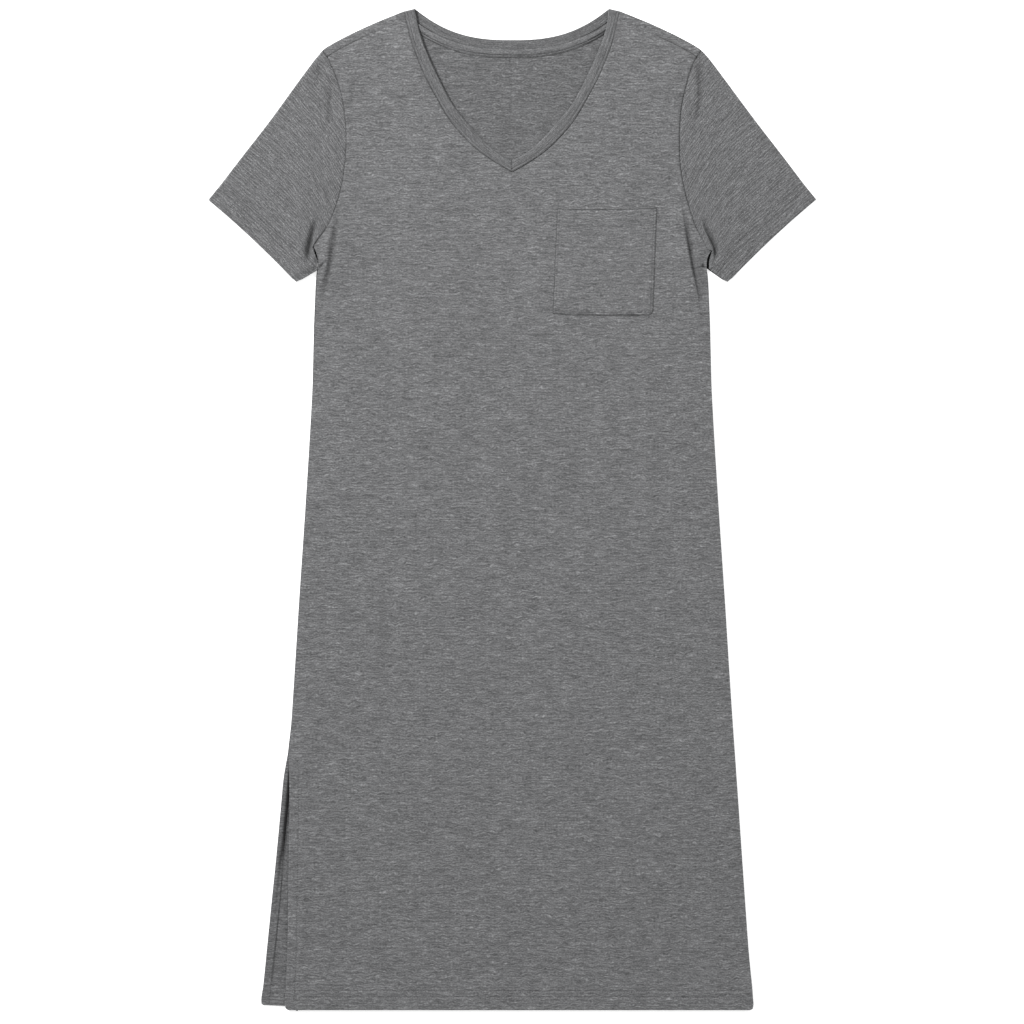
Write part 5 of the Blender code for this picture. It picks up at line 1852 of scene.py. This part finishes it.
@dataclass
class ChestPocket:
    """The patch pocket on the wearer's left chest, with a turned top hem."""

    front: FrontPanel
    name: str = "chest_pocket"
    columns: tuple[Stretch, ...] = ((0, 0.07, 12), (0.07, 0.93, 50), (0.93, 1, 14))
    rows_up: tuple[Stretch, ...] = ((0, 0.06, 14), (0.06, 0.82, 50), (0.82, 0.86, 6), (0.86, 1, 10))
    hem: float = 0.0195
    row_inside: float = 0.0028
    bottom_row: float = 0.0026
    corner: float = 0.0062
    from_side: float = 0.0500  # as far as this from the front's side, so its edge doesn't lower the pocket
    lift: float = 0.0004  # how much its middle stands up from its sewn edges
    lift_inside: Fade = Fade(0.0, 0.02)
    hem_lift: float = 0.0002  # how much higher the pocket's double hem lies
    hem_lift_from: Fade = Fade(0.0, 0.0015)
    inner_row: Groove = (0.00018, 0.0008)
    outer_row: Groove = (0.00032, 0.0007)
    low_row: Groove = (0.00034, 0.0007)
    hem_row: Groove = (0.00028, 0.0008)
    edge_shade: Groove = (0.0008, 0.0007)  # the inner and upper edges lie in their own shade
    edge_wall: float = 0.28  # its wall at an edge, as a share of the whole one
    edge_width: float = 0.0016
    row_points: int = 60
    cut_at: Place = (14.0, 12.0)

    @property
    def wide(self) -> float:
        """Width at the lower edge."""
        return POCKET_CORNERS[1][0] - POCKET_CORNERS[0][0]

    @property
    def tall(self) -> float:
        """Height at the inner edge."""
        return POCKET_CORNERS[3][1] - POCKET_CORNERS[0][1]

    def point(self, u: Array, v: Array) -> Array:
        """Points of the pocket by their shares across and up."""
        low_in, low_out, high_out, high_in = (np.array(corner) for corner in POCKET_CORNERS)
        low = low_in + (low_out - low_in) * u[..., None]
        low[..., 1] -= POCKET_LOW_SAG * np.sin(math.pi * u)
        high = high_in + (high_out - high_in) * u[..., None]
        high[..., 1] -= POCKET_SAG * np.sin(math.pi * u)
        return low + (high - low) * v[..., None]

    def rounded(self, u: Array, v: Array) -> tuple[Array, Array]:
        """Shares across and up with the lower outer corner drawn into a quarter circle."""
        out = np.clip((u - 1) * self.wide / self.corner + 1, 0.0, None)
        down = np.clip(1 - v * self.tall / self.corner, 0.0, None)
        out_by, down_by = out * (np.sqrt(1 - down**2 / 2) - 1), down * (np.sqrt(1 - out**2 / 2) - 1)
        return u + out_by * self.corner / self.wide, v - down_by * self.corner / self.tall

    def face(self, u: Array, v: Array) -> tuple[Array, Array]:
        """Height of the pocket's outer face, and how far it dips at its sewn rows, raised to the painted
        shade along its inner and upper edges.
        """
        point = self.point(u, v)
        inside = np.full(point.shape[:-1], self.from_side)
        base = self.front.height(Side.LEFT, point[..., 0], point[..., 1], inside)
        from_inner, from_outer = u * self.wide, (1 - u) * self.wide
        from_low, from_top = v * self.tall, (1 - v) * self.tall
        edge = np.minimum(np.minimum(from_inner, from_outer), from_low)
        dips = groove(from_inner - self.row_inside, *self.inner_row)
        dips = dips + groove(from_outer - self.row_inside, *self.outer_row)
        dips = dips + groove(from_low - self.bottom_row, *self.low_row)
        dips = dips + groove(from_top - self.hem, *self.hem_row)
        lift = self.lift * self.lift_inside.at(edge)
        lift = lift + self.hem_lift * self.hem_lift_from.at(self.hem - from_top)
        # painted shade along the pocket's inner and upper edges
        rim = np.maximum(groove(from_inner, *self.edge_shade), groove(from_top, *self.edge_shade))
        return base + CLOTH.gap + self.walls(u, v) + lift - dips, np.maximum(dips, rim)

    def walls(self, u: Array, v: Array) -> Array:
        """The pocket's wall, thinner towards its edges."""
        edge = np.minimum(np.minimum(u, 1 - u) * self.wide, np.minimum(v, 1 - v) * self.tall)
        return CLOTH.pocket * (self.edge_wall + (1 - self.edge_wall) * ease(edge / self.edge_width))

    def sheet(self) -> Sheet:
        """The whole pocket."""
        v, u = np.meshgrid(graded(*self.rows_up), graded(*self.columns), indexing="ij")
        height, dips = self.face(u, v)
        walls = self.walls(u, v)
        u, v = self.rounded(u, v)
        points = self.point(u, v)
        places = np.concatenate((points, height[..., None]), axis=-1)
        pattern = np.stack((u * self.wide, v * self.tall), axis=-1) + self.cut_at
        return Sheet(self.name, places, pattern, walls, painted_shade(dips))

    def rows(self) -> list[Array]:
        """Paths of the pocket's sewing."""
        side = self.row_inside / self.wide
        low, top = self.bottom_row / self.tall, 1 - self.hem / self.tall
        run = np.linspace(0.0, 1.0, self.row_points)
        still, across, up = np.ones_like(run), side + run * (1 - 2 * side), low + run * (1 - low)
        u = np.concatenate((side * still, across, (1 - side) * still))
        v = np.concatenate((up[::-1], low * still, up))
        paths = [np.column_stack((self.point(*self.rounded(u, v)), self.face(u, v)[0]))]
        v = top * still
        paths.append(np.column_stack((self.point(across, v), self.face(across, v)[0])))
        return paths


# ---- studio


@dataclass
class Studio:
    """The pale floor, the soft lights and the camera that looks straight down."""

    centre: tuple[float, float] = (0.0, -0.00224)
    camera_height: float = 2.708
    lens: float = 85.0
    sensor: float = 36.0
    floor_size: float = 14.0
    key_place: tuple[float, float, float] = (-2.25, 2.4, 2.2)
    key_size: float = 1.0
    key_power: float = 173.0
    fill_place: tuple[float, float, float] = (1.9, 0.6, 2.2)
    fill_size: float = 1.8
    fill_power: float = 24.0
    sky: float = 0.36

    def floor(self) -> None:
        """The surface that the dress lies on."""
        half = self.floor_size / 2
        mesh = bpy.data.meshes.new("floor")
        corners = [(-half, -half, 0.0), (half, -half, 0.0), (half, half, 0.0), (-half, half, 0.0)]
        mesh.from_pydata(corners, [], [(0, 1, 2, 3)])
        mesh.materials.append(Paper().material())
        add_object("floor", mesh)

    def light(self, name: str, place: tuple[float, float, float], size: float, power: float) -> None:
        """A square soft light that faces the dress."""
        lamp = bpy.data.lights.new(name, "AREA")
        lamp.shape = "SQUARE"
        lamp.size = size
        lamp.energy = power
        rig = add_object(name, lamp)
        rig.location = place
        away = np.array(place) / np.linalg.norm(place)
        rig.rotation_euler = (math.acos(away[2]), 0.0, math.atan2(away[1], away[0]) + math.pi / 2)

    def camera(self) -> None:
        """The camera, centred on the dress."""
        data = bpy.data.cameras.new("camera")
        data.lens = self.lens
        data.sensor_width = self.sensor
        camera = add_object("camera", data)
        camera.location = (*self.centre, self.camera_height)
        bpy.context.scene.camera = camera

    def build(self) -> None:
        """Set everything up."""
        world = bpy.data.worlds.new("sky")
        world.use_nodes = True
        sky = world.node_tree.nodes["Background"].inputs
        sky["Color"].default_value = (1.0, 1.0, 1.0, 1.0)
        sky["Strength"].default_value = self.sky
        bpy.context.scene.world = world
        bpy.context.scene.view_settings.view_transform = "Standard"
        self.camera()
        self.floor()
        self.light("key", self.key_place, self.key_size, self.key_power)
        self.light("fill", self.fill_place, self.fill_size, self.fill_power)


def main() -> None:
    """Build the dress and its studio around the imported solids."""
    logging.basicConfig(level=logging.INFO, format="%(name)s: %(message)s")
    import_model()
    Studio().build()

    face = Jersey("heather_jersey").material()
    # the sleeves' and the band's copies of the jersey are darker than the front's: painted shade on the
    # same cloth
    on_sleeve = Jersey("heather_jersey_sleeve", shade=0.138, **STRAIGHT).material()
    on_band = Jersey("heather_jersey_band", shade=0.133, **STRIPED).material()
    inside = Jersey("heather_jersey_back").material()
    tape_finish = Jersey("heather_tape", shade=0.142, **STRIPED).material()
    thread = Thread().material()
    hem_thread = Thread("hem_thread", dark=(0.240, 0.240, 0.245), light=(0.330, 0.330, 0.337)).material()

    front, back, band, tape = FrontPanel(), BackPanel(), Neckband(), NeckTape()
    pocket = ChestPocket(front)
    sleeves = [Sleeve(side) for side in Side]
    pieces = (
        (back, inside, Slot.INSIDE, ("floor",), "back_sewing"),
        (front, face, Slot.JERSEY, ("back_panel",), "hem_sewing"),
        (sleeves[0], on_sleeve, Slot.JERSEY, ("floor",), "cuff_sewing_right"),
        (sleeves[1], on_sleeve, Slot.JERSEY, ("floor",), "cuff_sewing_left"),
        (band, on_band, Slot.JERSEY, ("back_panel",), "neckband_sewing"),
        (tape, tape_finish, Slot.TAPE, ("back_panel",), "tape_sewing"),
        (pocket, face, Slot.JERSEY, ("front_panel",), "pocket_sewing"),
    )
    for part, finish, slot, rests_on, sewing_name in pieces:
        sheet = part.sheet()
        cloth = sheet.build(finish)
        sewing = StitchRows(sewing_name, part.rows()).build(hem_thread if part is front else thread)
        finish_piece(sewing)
        finish_piece(cloth, part.name, sheet)


if __name__ == "__main__":
    main()
